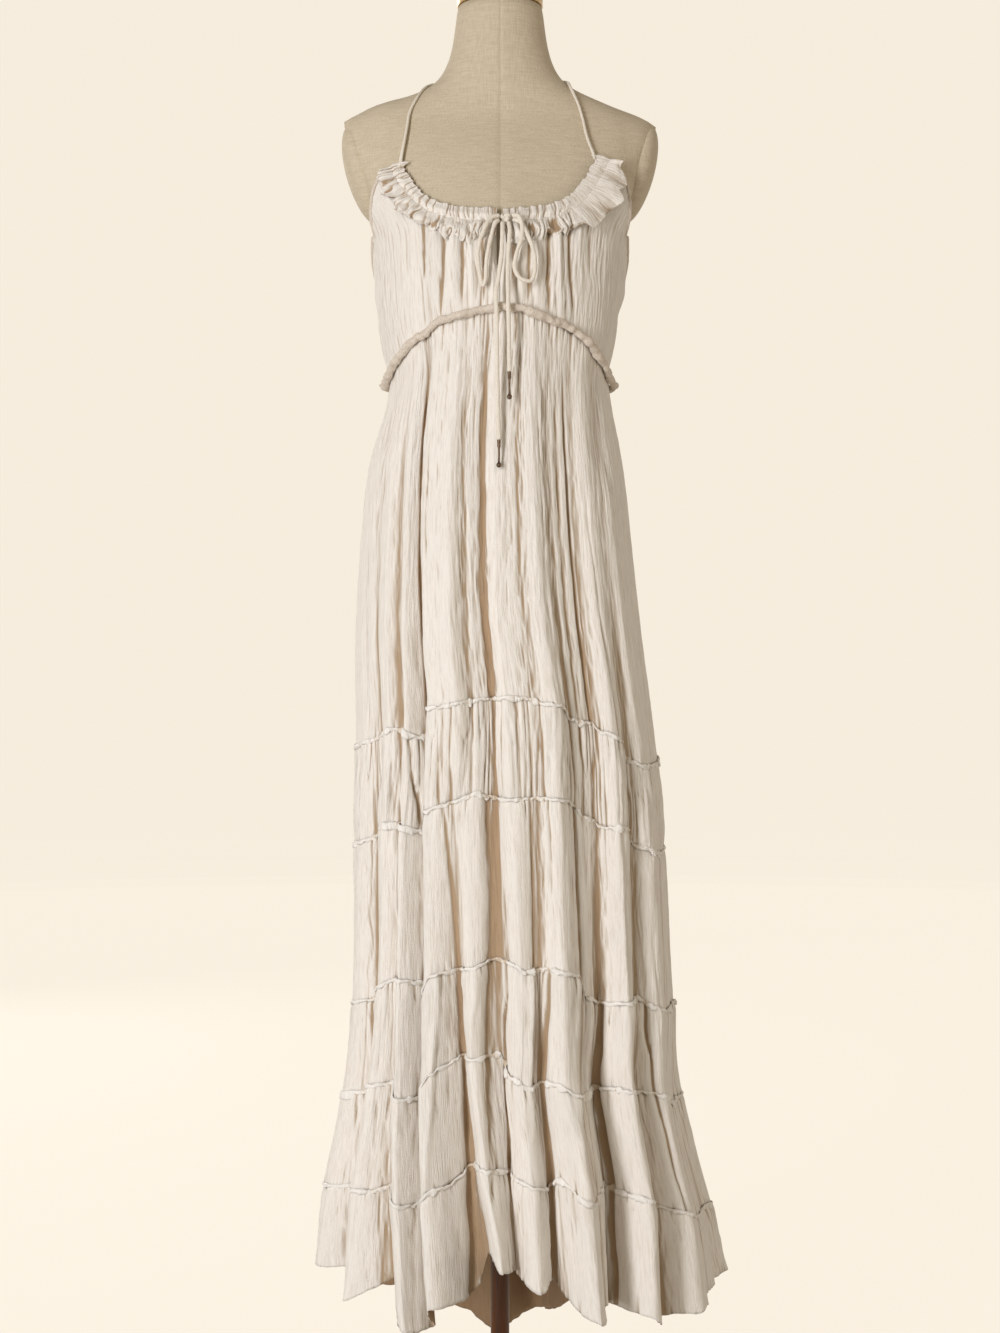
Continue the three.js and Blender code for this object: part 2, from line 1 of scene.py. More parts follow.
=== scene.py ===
import math
import bpy
import numpy as np
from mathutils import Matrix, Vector


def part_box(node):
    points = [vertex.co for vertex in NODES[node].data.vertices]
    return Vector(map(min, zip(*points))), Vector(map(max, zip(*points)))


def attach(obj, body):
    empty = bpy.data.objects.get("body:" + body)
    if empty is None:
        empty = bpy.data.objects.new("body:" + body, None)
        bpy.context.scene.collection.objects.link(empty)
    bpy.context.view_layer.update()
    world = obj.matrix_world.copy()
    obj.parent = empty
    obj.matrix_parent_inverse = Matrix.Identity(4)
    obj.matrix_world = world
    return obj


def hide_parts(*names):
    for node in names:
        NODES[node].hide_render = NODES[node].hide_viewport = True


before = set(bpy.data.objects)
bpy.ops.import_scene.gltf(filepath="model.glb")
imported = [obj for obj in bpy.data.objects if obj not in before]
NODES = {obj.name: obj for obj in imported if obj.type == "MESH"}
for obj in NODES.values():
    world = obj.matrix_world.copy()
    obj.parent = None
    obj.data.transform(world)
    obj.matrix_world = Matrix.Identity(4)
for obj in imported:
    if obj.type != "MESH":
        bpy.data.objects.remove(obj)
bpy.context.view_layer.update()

bpy.ops.object.select_all(action="DESELECT")

MM = 0.001
SIDES = ((-1, "left"), (1, "right"))

# ---------------------------------------------------------------- camera, light and floor
CAMERA_DISTANCE = 2.6
CAMERA_HEIGHT = 0.883
VIEW_HEIGHT = 1.573
SENSOR = 36.0


def set_camera():
    """The camera looks level at the dress from straight in front."""
    camera = bpy.data.cameras.new("front_camera")
    camera.sensor_fit = "VERTICAL"
    camera.sensor_height = SENSOR
    camera.lens = SENSOR * CAMERA_DISTANCE / VIEW_HEIGHT
    holder = bpy.data.objects.new("front_camera", camera)
    holder.location = (0, -CAMERA_DISTANCE, CAMERA_HEIGHT)
    holder.rotation_euler = (math.radians(90), 0, 0)
    bpy.context.scene.collection.objects.link(holder)
    bpy.context.scene.camera = holder


def add_light(name, place, aim, size, power, colour):
    """A soft rectangular light that faces a point."""
    light = bpy.data.lights.new(name, "AREA")
    light.shape = "RECTANGLE"
    light.size, light.size_y = size
    light.energy = power
    light.color = colour
    holder = bpy.data.objects.new(name, light)
    holder.location = place
    holder.rotation_euler = (Vector(aim) - Vector(place)).to_track_quat("-Z", "Y").to_euler()
    bpy.context.scene.collection.objects.link(holder)


def light_the_room():
    """A tall window in front on the left, a weak warm fill on the right and a light behind."""
    world = bpy.data.worlds.new("soft_room")
    world.use_nodes = True
    background = world.node_tree.nodes["Background"]
    background.inputs["Color"].default_value = (1.0, 0.86, 0.68, 1)
    background.inputs["Strength"].default_value = 0.34
    bpy.context.scene.world = world
    add_light("window_left", (-1.55, -2.6, 1.12), (0, 0, 0.85), (0.5, 2.4), 68, (0.99, 0.98, 0.99))
    add_light("right_fill", (2.6, -0.9, 0.95), (0, 0, 0.75), (1.2, 2.0), 11, (1.0, 0.9, 0.76))
    add_light("back_window", (-1.6, 2.9, 1.7), (0, 0, 0.85), (1.4, 2.2), 46, (1.0, 0.97, 0.93))
    view = bpy.context.scene.view_settings
    view.view_transform = "Standard"
    view.look = "None"


def add_floor():
    """A pale round sweep: floor, a curved foot and a wall all the way round."""
    sides, radius, foot, top = 72, 6.4, 0.9, 7.0
    profile = [(radius, 0.0)]
    for i in range(1, 9):
        angle = math.radians(90 * i / 8)
        profile.append((radius + foot * math.sin(angle), foot - foot * math.cos(angle)))
    profile.append((radius + foot, top))
    angles = [2 * math.pi * k / sides for k in range(sides)]
    points = [(r * math.cos(a), r * math.sin(a), z) for r, z in profile for a in angles]
    faces = [tuple(range(sides))]
    for i in range(len(profile) - 1):
        for k in range(sides):
            after = (k + 1) % sides
            faces.append((i * sides + after, i * sides + k, (i + 1) * sides + k, (i + 1) * sides + after))
    mesh = bpy.data.meshes.new("floor_sweep")
    mesh.from_pydata(points, [], faces)
    sweep = bpy.data.objects.new("floor_sweep", mesh)
    bpy.context.scene.collection.objects.link(sweep)
    cream = bpy.data.materials.new("pale_sweep")
    cream.use_nodes = True
    shader = cream.node_tree.nodes["Principled BSDF"]
    shader.inputs["Base Color"].default_value = (0.06, 0.055, 0.048, 1)
    shader.inputs["Roughness"].default_value = 1.0
    shader.inputs["Emission Color"].default_value = (0.885, 0.812, 0.70, 1)
    shader.inputs["Emission Strength"].default_value = 1.0
    mesh.materials.append(cream)
    sweep.visible_diffuse = False


# ---------------------------------------------------------------- tables, in millimetres
# The dress form's level sections.
FORM_HEIGHT = [862, 900, 950, 1000, 1060, 1120, 1170, 1215, 1260, 1300, 1340, 1385,
               1410, 1440, 1475, 1502, 1518, 1533, 1547, 1562, 1576, 1594, 1617, 1660]
FORM_HALF_WIDTH = [150, 157, 159, 152, 130, 111, 108, 116, 128, 137, 144, 150,
                   163, 178, 190, 194, 181, 146, 112, 84, 70, 61, 55, 50]
FORM_FORE = [100, 106, 106, 102, 92, 85, 86, 94, 106, 117, 121, 112,
             102, 90, 76, 62, 54, 51, 51, 53, 54, 54, 53, 50]
FORM_AFT = [112, 118, 121, 117, 101, 88, 84, 86, 91, 96, 100, 104,
            105, 103, 96, 85, 76, 72, 69, 66, 62, 57, 53, 50]
ARM_PLATE_TOP, ARM_PLATE_REACH, ARM_PLATE_LEAN, ARM_PLATE_LOWEST = 1512, 179, 0.29, 1384

# How far the bodice hangs off the form.
EASE_HEIGHT = [1206, 1245, 1285, 1325, 1345, 1470]
EASE = [13, 13, 10, 2, 0, 0]
BUST_EASE = 3.5
BACK_EASE = 3.0
LEAST_EASE = 2.5
# The bodice's sides are drawn in at the waist, most between the middle two of these heights.
WAIST_IN_LEFT, WAIST_IN_RIGHT = 4.5, 9.5
WAIST_HEIGHTS = (1195, 1235, 1290, 1325)

# The upper edge of each half of the bodice, by turn from the front.
EDGE_TURN = [0, 8, 15, 21, 27, 32, 36, 40, 46, 53, 59, 66, 74, 82, 90]
EDGE_HEIGHT = {
    "left": [1399, 1400, 1402, 1405, 1412, 1428, 1450, 1456, 1451, 1437, 1422, 1405, 1387, 1371, 1356],
    "right": [1399, 1400, 1402, 1405, 1414, 1434, 1458, 1465, 1458, 1441, 1425, 1407, 1388, 1371, 1356],
}
BACK_EDGE_TURN = [90, 105, 120, 135, 150, 165, 180]
BACK_EDGE_HEIGHT = [1356, 1326, 1300, 1281, 1268, 1261, 1258]

# The gathered neckline runs up to the strap, almost upright at its end.
NECK_TURN = {
    "left": [1.2, 8, 15, 21, 27, 31, 34, 36, 37.2],
    "right": [1.2, 8, 15, 21, 27, 30.5, 33, 35, 36.2],
}
NECK_HEIGHT = {
    "left": [1399, 1400, 1402, 1405, 1412, 1423, 1437, 1451, 1462],
    "right": [1399, 1400, 1402, 1406, 1416, 1429, 1445, 1460, 1471],
}

# The skirt's levels, from the empire seam (0) to the hem (8).
STEP = [0, 1, 2, 3, 4, 5, 6, 7, 8]
RING_FRONT = [1285, 1130, 960, 850, 738, 553, 451, 327, 192]
RING_SIDE = [1214, 1100, 925, 785, 674, 490, 372, 256, 178]
RING_BACK = [1206, 1090, 900, 740, 630, 440, 330, 205, 68]
RING_HALF_WIDTH = [132, 152, 168, 177, 180, 184, 190, 216, 229]
RING_CENTRE = [0, -5, -2, 8, 11, 16, 14, 20, 23]
RING_FORE = [125, 132, 142, 150, 156, 172, 182, 196, 208]
RING_AFT = [92, 112, 135, 142, 155, 178, 194, 215, 235]

# Fold lines: turn at the empire seam, the band, the third tier and the hem, then the lift at each.
FOLD_STOPS = [0, 3, 5, 8]
FRONT_FOLDS = [
    (-90, -90, -90, -90, 0, 0, 0, 0),
    (-70, -66, -74, -70, 0, 2, 8, 14),
    (-60, -57, -62, -60, 0, -3, -10, -20),
    (-52, -48, -51, -51, 0, 4, 10, 18),
    (-46, -43, -46, -40, 0, -2, -6, -8),
    (-41, -39, -41, -29, 0, 5, 12, 26),
    (-36, -34, -35.5, -26, -3, -24, -28, -8),
    (-31, -28, -30, -22.5, 1, 8, 14, 24),
    (-20, -18, -21, -12, 3, 12, -10, -36),
    (-12.5, -12.5, -15, -5, 0, -4, 6, 14),
    (-6, -6, -5, -1.5, -3, -15, -12, -16),
    (-0.5, 0, 2, 4.5, 2, 7, 9, 12),
    (9, 9, 9, 10.5, 1, 4, -5, -14),
    (15, 16, 16, 19, 3, 9, 14, 28),
    (24, 25, 26, 25, -1, -7, -8, -6),
    (34, 35.5, 35, 30, -2, -13, -20, -30),
    (42, 42, 42, 37, 1, 4, 8, 16),
    (52, 53, 51, 46, -1, -6, -8, -10),
    (62, 64, 60, 57, 0, 3, 8, 12),
    (75, 75, 75, 74, 0, -1, -2, -4),
    (90, 90, 90, 90, 0, 0, 0, 0),
]
BACK_FOLDS = [
    (90, 90, 90, 90, 0, 0, 0, 0),
    (103, 101, 100, 99, 0, 3, 9, 17),
    (114, 113, 112, 110, 0, -4, -11, -22),
    (126, 127, 125, 122, 1, 4, 10, 20),
    (140, 139, 141, 137, 0, -6, -14, -26),
    (151, 152, 153, 151, 1, 5, 12, 22),
    (163, 164, 166, 163, 0, -3, -9, -18),
    (176, 177, 176, 175, 1, 6, 13, 25),
    (190, 189, 187, 188, 0, -5, -13, -28),
    (201, 202, 203, 204, 1, 4, 8, 16),
    (214, 213, 212, 214, 0, -3, -10, -20),
    (227, 228, 226, 227, 1, 5, 13, 24),
    (241, 240, 242, 241, 0, -4, -9, -20),
    (256, 256, 257, 256, 0, 2, 7, 12),
    (270, 270, 270, 270, 0, 0, 0, 0),
]

# Where the seams and the hem step up or down from fold to fold in front: turn and rise, by seam.
SEAM_RISES = {
    3: [(-90, 4), (-77, 2), (-58, -2), (-47, -3), (-40, -13), (-36, -25), (-34, -22), (-31.5, 4), (-23, -2),
        (-11, -2), (6, -2), (12.7, -5), (20.5, -4), (22.5, -15), (28.8, -14), (36, -9), (38, -15),
        (47.5, -18), (49.5, -33), (60, -32), (75, -20), (90, -10)],
    4: [(-90, 0), (-65, -2), (-50, 3), (-42, -5), (-37, -18), (-34, -15), (-31, -2), (-18, 3), (-12, 7),
        (-9, 1), (0, -3), (10, 0), (21, 3), (24, 0), (29, -8), (36, -8), (38, -12), (46, -4), (50, -3),
        (53, -16), (65, -17), (80, -10), (90, -6)],
    5: [(-90, 0), (-64, 0), (-51, 8), (-47, 14), (-40, 6), (-35, -11), (-31, -18), (-29, 2), (-14, 1),
        (-7, 7), (0, 1), (4, -6), (13, -1), (23, -4), (25, -14), (27, -25), (35, -27), (43, -18),
        (53, -6), (57, -13), (75, -11), (90, -6)],
    6: [(-90, 11), (-70, 11), (-53, 10), (-41, 4), (-38.5, -17), (-30, -29), (-27, -2), (-20, 9), (-10, 4),
        (-4, 5), (-1.5, -17), (5, -30), (14, -20), (20.5, -32), (27, -30), (31, -22), (37, -10), (55, 2),
        (75, 1), (90, 0)],
    7: [(-90, 26), (-72, 25), (-60, 18), (-52, 14), (-47, 8), (-38.5, 13), (-36, -6), (-31, -20), (-27, -28),
        (-25, -5), (-21, -5), (-17, 7), (-11, 11), (-7, 7), (-2.5, 0), (-1, -4), (5, -11), (9, -17),
        (13, 0), (14.5, -6), (16, -14), (22, -24), (31, 0), (34, -5), (58, -12), (75, -15), (90, -14)],
    8: [(-90, 20), (-76, 20), (-60, 16), (-57, -7), (-51, -8), (-43, 9), (-36.5, 26), (-34, -6), (-30, -29),
        (-25.2, -34), (-23.5, -4), (-14.5, 0), (-11.5, 42), (-8, 50), (-6, 38), (-1.4, 27), (5.3, 10),
        (9, 26), (12, 8), (15.3, -9), (20.5, -18), (25, -8), (32, -14), (42, -32), (52, -25),
        (71, -21), (90, -18)],
}

FIRST_SEAM = 3
SEAM_SPREAD, HEM_SPREAD = 0.7, 1.1  # the turn to each side that a step is eased over
BACK_WAVE = 9                       # how far the seams behind wander up and down
BACK_HEM_DROP = 24                  # how much lower the hem hangs behind

# Creases pressed into the front: first and last step, turn at each, width and depth (below 0, a ridge).
FRONT_CREASES = [
    (0.2, 4.4, -18.0, -18.0, 16, -3.0), (0.3, 4.6, -6.0, -5.0, 8, 4.0), (0.2, 4.6, 14.5, 16.0, 18, -3.0),
    (0.4, 4.6, 27.5, 29.0, 8, 3.0), (0.8, 4.0, 52.0, 58.0, 30, -5.0), (0.6, 4.0, -44.0, -44.0, 22, 4.0),
    (4.6, 7.2, 13.0, 13.0, 22, -5.0), (5.0, 7.2, 1.5, 3.0, 16, 5.0), (4.8, 7.6, -9.0, -6.5, 22, 6.0),
    (0.15, 3.2, -36.5, -34.0, 3.4, 6.0), (0.3, 3.0, -32.5, -31.0, 5, -2.6),
    (0.2, 2.0, 9.5, 8.0, 4, 1.6), (0.3, 3.0, 31.5, 35.0, 3.4, 4.6), (0.4, 3.0, 19.0, 20.5, 4, -2.4),
    (0.8, 3.0, 39.0, 46.0, 5, 2.2), (0.9, 3.0, 55.0, 59.0, 12, -3.0), (1.3, 3.0, -68.0, -63.0, 12, 3.0),
    (1.0, 3.0, -50.0, -47.0, 7, -2.6), (1.6, 3.0, -57.0, -55.0, 5, 2.0), (0.6, 2.2, -29.0, -28.0, 3, 1.8),
    (3.0, 4.0, -71.0, -71.0, 6, 3.6), (3.0, 4.0, -60.0, -59.0, 5, -2.6), (3.0, 4.0, -53.5, -52.0, 4, 3.4),
    (3.0, 4.0, -44.0, -43.0, 3, 2.4), (3.0, 4.2, -38.0, -37.0, 6, 5.0), (3.0, 4.0, -19.5, -21.0, 4.5, 3.6),
    (3.0, 4.0, -12.5, -13.5, 4.0, 3.2), (3.0, 4.0, -24.5, -25.0, 3, 1.8), (3.0, 4.0, 2.5, 4.0, 5.0, 3.0),
    (3.0, 4.0, 11.5, 12.0, 3.0, 2.4), (3.0, 4.0, 29.0, 30.0, 3.5, 1.8), (3.0, 4.1, 24.0, 24.5, 5, 3.4),
    (3.0, 4.1, 44.5, 43.0, 4.0, 2.8), (3.0, 4.2, 50.5, 51.0, 5, 4.2), (3.0, 4.0, 65.0, 66.0, 5, 2.6),
    (4.0, 5.0, -24.0, -21.0, 5, 2.6), (4.0, 5.4, -8.0, -7.0, 14, 4.8), (4.0, 5.0, 6.5, 7.0, 4, 2.2),
    (4.0, 5.2, 23.5, 25.5, 5.0, 4.4), (4.0, 5.0, 13.0, 14.0, 5, 2.2), (4.3, 5.0, -62.0, -64.0, 8, 2.6),
    (4.0, 5.0, -45.5, -46.0, 5, 3.0), (4.0, 5.0, 43.0, 44.0, 7, 3.0), (4.2, 5.0, 58.0, 60.0, 8, 2.6),
    (5.0, 8.0, -56.5, -53.0, 5.0, 5.5), (5.0, 7.0, -64.0, -62.0, 5, -3.5), (5.0, 8.0, -45.5, -37.0, 4.5, 5.0),
    (5.0, 6.6, -33.5, -29.0, 7.0, 7.5), (5.0, 7.0, -27.0, -25.0, 5, -4.0), (5.0, 8.0, -20.0, -15.0, 9.0, 5.0),
    (5.0, 6.4, -13.5, -13.0, 4, -2.4), (5.0, 7.4, -3.0, -2.5, 4.0, 7.0), (5.0, 6.8, 5.5, 5.0, 5, -3.4),
    (5.0, 8.0, 12.0, 9.5, 6.0, 5.4), (5.0, 7.4, 21.5, 16.5, 9.0, -4.0), (5.0, 8.0, 27.5, 27.0, 5.0, 5.0),
    (5.0, 8.0, 36.5, 32.0, 5.0, 6.0), (5.0, 7.0, 55.0, 57.0, 6, 4.6), (5.6, 8.0, 46.0, 47.0, 14, 3.0),
    (6.4, 8.0, 66.0, 68.0, 12, 5.0), (7.0, 8.0, -72.0, -74.0, 9, 5.0),
]
BACK_CREASES = [
    (0.1, 3.0, 108, 107, 4.0, 3.4), (0.2, 2.6, 119, 121, 7.0, -3.0), (0.0, 3.0, 133, 134, 9.0, 3.8),
    (0.3, 3.0, 146, 147, 5.0, -2.6), (0.1, 2.2, 158, 159, 4.0, 3.2), (0.0, 3.0, 171, 170, 10, 4.0),
    (0.4, 3.0, 184, 182, 5.0, 2.8), (0.1, 3.0, 197, 196, 8.0, -3.2), (0.0, 2.8, 209, 211, 4.0, 3.8),
    (0.2, 3.0, 222, 221, 11, 3.6), (0.1, 3.0, 236, 238, 4.5, 3.0), (0.5, 3.0, 252, 251, 8.0, -2.8),
    (3.0, 4.0, 104, 105, 4.0, 3.0), (3.0, 4.0, 118, 117, 5.0, 3.4), (3.0, 4.0, 129, 131, 4.0, -2.6),
    (3.0, 4.2, 143, 142, 5.0, 4.4), (3.0, 4.0, 157, 158, 4.0, 2.8), (3.0, 4.0, 174, 173, 5.0, 3.6),
    (3.0, 4.0, 189, 190, 4.0, -2.8), (3.0, 4.1, 205, 204, 5.0, 4.0), (3.0, 4.0, 218, 219, 4.0, 2.6),
    (3.0, 4.0, 233, 232, 5.0, 3.4), (3.0, 4.0, 249, 250, 4.0, 3.0), (4.0, 5.2, 112, 111, 7.0, 4.0),
    (4.0, 5.0, 137, 139, 10, 4.4), (4.0, 5.3, 160, 158, 5.0, 4.6), (4.0, 5.0, 186, 188, 12, 4.0),
    (4.0, 5.2, 210, 209, 5.0, 4.4), (4.0, 5.0, 231, 233, 9.0, 3.6), (5.0, 8.0, 106, 104, 6.0, 5.0),
    (5.0, 7.2, 119, 121, 5.0, -4.0), (5.0, 8.0, 133, 131, 8.0, 6.0), (5.0, 8.0, 147, 149, 5.0, 5.4),
    (5.0, 7.0, 157, 156, 5.0, -3.6), (5.0, 8.0, 169, 171, 9.0, 6.2), (5.0, 7.6, 182, 180, 5.0, 5.0),
    (5.0, 8.0, 194, 196, 7.0, -4.2), (5.0, 8.0, 207, 205, 6.0, 6.4), (5.0, 7.4, 221, 223, 8.0, 5.0),
    (5.0, 8.0, 235, 233, 5.0, 5.6), (5.6, 8.0, 249, 251, 10, 4.6),
]

FOLDS = {"front": FRONT_FOLDS, "back": BACK_FOLDS}
CREASES = {"front": FRONT_CREASES, "back": BACK_CREASES}
# In the lower tiers the folds grow deeper, and the creases wider and deeper, than their tables say.
DEEPER_FOLDS, DEEPER_FROM, DEEPER_TO = 0.3, 4.2, 6.5
LOWER_TIERS = 5
LOWER_CREASE_WIDTH, LOWER_CREASE_DEPTH = 1.35, 1.6

# Folds that fan down each bodice half from its casing: turn at the top and at the foot, where they
# start and end as shares of its length, width and depth (below 0, a ridge).
BODICE_CREASES = {
    "left": [(8, 7, 0.1, 1, 5, 2.6), (12, 12, 0.1, 1, 6, -3.4), (16, 17, 0.1, 0.95, 4, 3.6),
             (20, 20.5, 0.15, 1, 8, -4.2), (24.5, 27, 0.1, 1, 5, 4.4), (29, 31, 0.15, 0.95, 6, -3.2),
             (33, 38, 0.15, 0.85, 6, 2.6), (39, 46, 0.2, 0.7, 8, -1.8), (3.2, 3, 0.05, 1, 5, -4.5)],
    "right": [(6, 6, 0.1, 1, 4, 2.8), (9.5, 9, 0.1, 1, 5, -2.8), (13, 12.5, 0.1, 1, 4, 3.0),
              (17, 16.5, 0.1, 1, 6, -3.6), (21, 22, 0.15, 1, 5, 4.0), (25, 28, 0.1, 1, 6, -3.6),
              (29, 35, 0.15, 1, 5, 4.0), (33, 41, 0.2, 0.8, 7, -2.2), (38, 48, 0.2, 0.7, 6, 2.0)],
}

# Routes of the strap (turn, height) and of the drawstring (x, y, z).
STRAP_ROUTE = [
    (-37.5, 1462), (-36, 1475), (-34.6, 1487), (-33.6, 1506), (-35.5, 1517), (-39.5, 1526), (-50, 1541),
    (-66, 1554), (-84, 1563), (-102, 1570), (-124, 1579), (-150, 1586), (-180, 1588), (-210, 1586),
    (-236, 1580), (-258, 1573), (-276, 1567), (-292, 1561), (-306, 1552), (-316, 1541), (-324, 1529),
    (-328.8, 1516), (-329.4, 1494), (-325.5, 1471),
]
LEFT_LOOP_ROUTE = [
    (-1.3, -125, 1390), (-9, -128, 1387), (-17, -133, 1375), (-24.5, -136, 1348), (-22, -137, 1318),
    (-18.5, -137.5, 1309), (-16, -137.5, 1316), (-15, -137, 1338), (-10, -132.5, 1364),
    (-5.5, -127.5, 1381), (-1.3, -125, 1384.6),
]
RIGHT_LOOP_ROUTE = [
    (14.4, -125, 1390.5), (21, -128, 1388), (25, -133, 1370), (17.5, -136, 1341), (16.5, -137, 1327),
    (23, -138, 1317), (34, -137, 1314), (39, -136, 1326), (38, -135, 1346), (31, -133.5, 1366),
    (23.5, -127, 1381.5), (14.4, -124.5, 1385.5),
]
LEFT_END_ROUTE = [
    (3, -124.5, 1382.4), (2.6, -131.5, 1371), (1.8, -136.5, 1347), (-1.5, -140, 1318), (-4.5, -144.5, 1300),
    (-4, -146, 1280), (-3.4, -145.5, 1250), (-3.2, -144, 1215), (-2.4, -143.5, 1175), (-1.2, -143.5, 1136),
]
RIGHT_END_ROUTE = [
    (10, -124.5, 1382.4), (10.8, -131.5, 1371), (9.4, -136.5, 1347), (8.6, -141, 1316), (9, -145, 1296),
    (9.4, -146, 1275), (10, -145.5, 1245), (10.6, -144, 1212),
]


# ---------------------------------------------------------------- curves and surfaces
def along(keys, values, place):
    """A smooth curve through a table's rows, read at one place or an array of them."""
    keys = np.asarray(keys, float)
    values = np.asarray(values, float)
    place = np.asarray(place, float)
    i = np.clip(np.searchsorted(keys, place, side="left") - 1, 0, len(keys) - 2)
    slopes = np.empty_like(values)
    slopes[1:-1] = (values[2:] - values[:-2]) / (keys[2:] - keys[:-2])
    slopes[0] = (values[1] - values[0]) / (keys[1] - keys[0])
    slopes[-1] = (values[-1] - values[-2]) / (keys[-1] - keys[-2])
    span = keys[i + 1] - keys[i]
    t = np.clip((place - keys[i]) / span, 0, 1)
    blend = eased(t)
    leave = t * (1 - t) ** 2 * span * slopes[i]
    arrive = t * t * (1 - t) * span * slopes[i + 1]
    return values[i] * (1 - blend) + values[i + 1] * blend + leave - arrive


def mix(a, b, t):
    """The value a share t of the way from a to b."""
    return a + (b - a) * t


def eased(t):
    """A share from 0 to 1, slowed at both ends."""
    return t * t * (3 - 2 * t)


def ramp(value, low, high):
    """Rises smoothly from 0 at low to 1 at high."""
    return eased(np.clip((np.asarray(value, float) - low) / (high - low), 0, 1))


def ripples(across, down, width, length, seed):
    """Soft uneven waves from -1 to 1, each about width by length."""
    lattice = np.random.default_rng(seed).uniform(-1, 1, (256, 256))
    a = np.asarray(across, float) / width + 64
    b = np.asarray(down, float) / length + 64
    i, j = np.floor(a).astype(int), np.floor(b).astype(int)
    s, t = a - i, b - j
    s, t = eased(s), eased(t)
    i0, i1, j0, j1 = i % 256, (i + 1) % 256, j % 256, (j + 1) % 256
    upper = mix(lattice[i0, j0], lattice[i1, j0], s)
    lower = mix(lattice[i0, j1], lattice[i1, j1], s)
    return mix(upper, lower, t)


def pleats(across, down, width, length, seed):
    """Like ripples, but with narrow crests, from -1 to 1."""
    return 1 - 2 * np.abs(ripples(across, down, width, length, seed)) ** 0.8


def form_point(turn, height):
    """A point on the dress form, by turn from the front in degrees and height in millimetres."""
    turn, height = np.broadcast_arrays(np.asarray(turn, float), np.asarray(height, float))
    sine, cosine = np.sin(np.radians(turn)), np.cos(np.radians(turn))
    depth = np.where(cosine > 0, along(FORM_HEIGHT, FORM_FORE, height), along(FORM_HEIGHT, FORM_AFT, height))
    x = along(FORM_HEIGHT, FORM_HALF_WIDTH, height) * sine
    reach = ARM_PLATE_REACH - (ARM_PLATE_TOP - height) * ARM_PLATE_LEAN
    x = np.where(height > ARM_PLATE_LOWEST, np.clip(x, -reach, reach), x)
    return np.stack([x, -depth * cosine, height], -1)


def above_form(turn, height, distance):
    """A point at a distance straight off the form."""
    around = form_point(turn + 1, height) - form_point(turn - 1, height)
    upward = form_point(turn, height + 2) - form_point(turn, height - 2)
    out = np.cross(around, upward)
    return form_point(turn, height) + distance * out / np.linalg.norm(out, axis=-1, keepdims=True)


def level_out(turn, distance):
    """A level step of that distance away from the pole."""
    radians = np.radians(turn)
    x, y = np.sin(radians) * distance, -np.cos(radians) * distance
    return np.stack([x, y, np.zeros_like(x)], -1)


def bodice_point(turn, height, lift=0.0):
    """A point on the bodice: the form, the cloth's ease over it and a lift off that."""
    turn, height, lift = np.broadcast_arrays(*[np.asarray(v, float) for v in (turn, height, lift)])
    sine, cosine = np.sin(np.radians(turn)), np.cos(np.radians(turn))
    ease = mix(BUST_EASE + along(EASE_HEIGHT, EASE, height), BACK_EASE, np.minimum(cosine, 0) ** 2)
    foot, low, high, top = WAIST_HEIGHTS
    drawn_in = np.where(sine > 0, WAIST_IN_RIGHT, WAIST_IN_LEFT)
    drawn_in = drawn_in * ramp(height, foot, low) * ramp(-height, -top, -high)
    ease = np.maximum(ease - drawn_in * np.abs(sine) ** 6, LEAST_EASE)
    return form_point(turn, height) + level_out(turn, ease + lift)


def ring_height(step, turn):
    """The height of a skirt level at a turn, before the seams step up and down."""
    cosine = np.cos(np.radians(turn))
    end = np.where(cosine > 0, along(STEP, RING_FRONT, step), along(STEP, RING_BACK, step))
    return mix(along(STEP, RING_SIDE, step), end, cosine ** 2)


def skirt_point(turn, step, lift):
    """A point on the hanging skirt, by turn, level and lift off its plain shape."""
    turn, step, lift = np.broadcast_arrays(turn, step, lift)
    sine, cosine = np.sin(np.radians(turn)), np.cos(np.radians(turn))
    depth = np.where(cosine > 0, along(STEP, RING_FORE, step), along(STEP, RING_AFT, step))
    x = along(STEP, RING_CENTRE, step) + along(STEP, RING_HALF_WIDTH, step) * sine
    hanging = np.stack([x, -depth * cosine, ring_height(step, turn)], -1)
    top = bodice_point(turn, ring_height(np.zeros_like(turn), turn))
    from_bodice = np.maximum(1 - step, 0)[..., None] ** 2
    hanging[..., :2] = mix(hanging[..., :2], top[..., :2], from_bodice)
    return hanging + level_out(turn, lift)


def seam_rise(step, turn):
    """How far the cloth steps up or down from the level seams, in millimetres."""
    rises = []
    for seam, table in SEAM_RISES.items():
        table = np.array(table, float)
        hem = seam == STEP[-1]
        spread = HEM_SPREAD if hem else SEAM_SPREAD
        front = sum(np.interp(turn + spread * k, table[:, 0], table[:, 1]) for k in (-1, -0.5, 0, 0.5, 1)) / 5
        wave = BACK_WAVE * ripples(turn, 10.0 * seam, 9, 1, 31)
        wave = wave * ramp(np.minimum(turn - 90, 270 - turn), 0, 20)
        if hem:
            wave = wave - BACK_HEM_DROP * ramp(turn, 150, 185) * ramp(-turn, -240, -200)
        right_side = table[-1, 1] * (1 - ramp(turn, 90, 120))
        left_side = table[0, 1] * ramp(turn, 240, 270)
        rises.append(np.where(turn <= 90, front, wave + right_side + left_side))
    rises = np.array([rises[0] * 0] + rises)
    last = len(rises) - 2
    place = np.clip(step - FIRST_SEAM, -1, last) + 1
    low = np.clip(np.floor(place).astype(int), 0, last)
    at_low = np.take_along_axis(rises, low[None], 0)[0]
    at_high = np.take_along_axis(rises, low[None] + 1, 0)[0]
    return mix(at_low, at_high, eased(place - low))


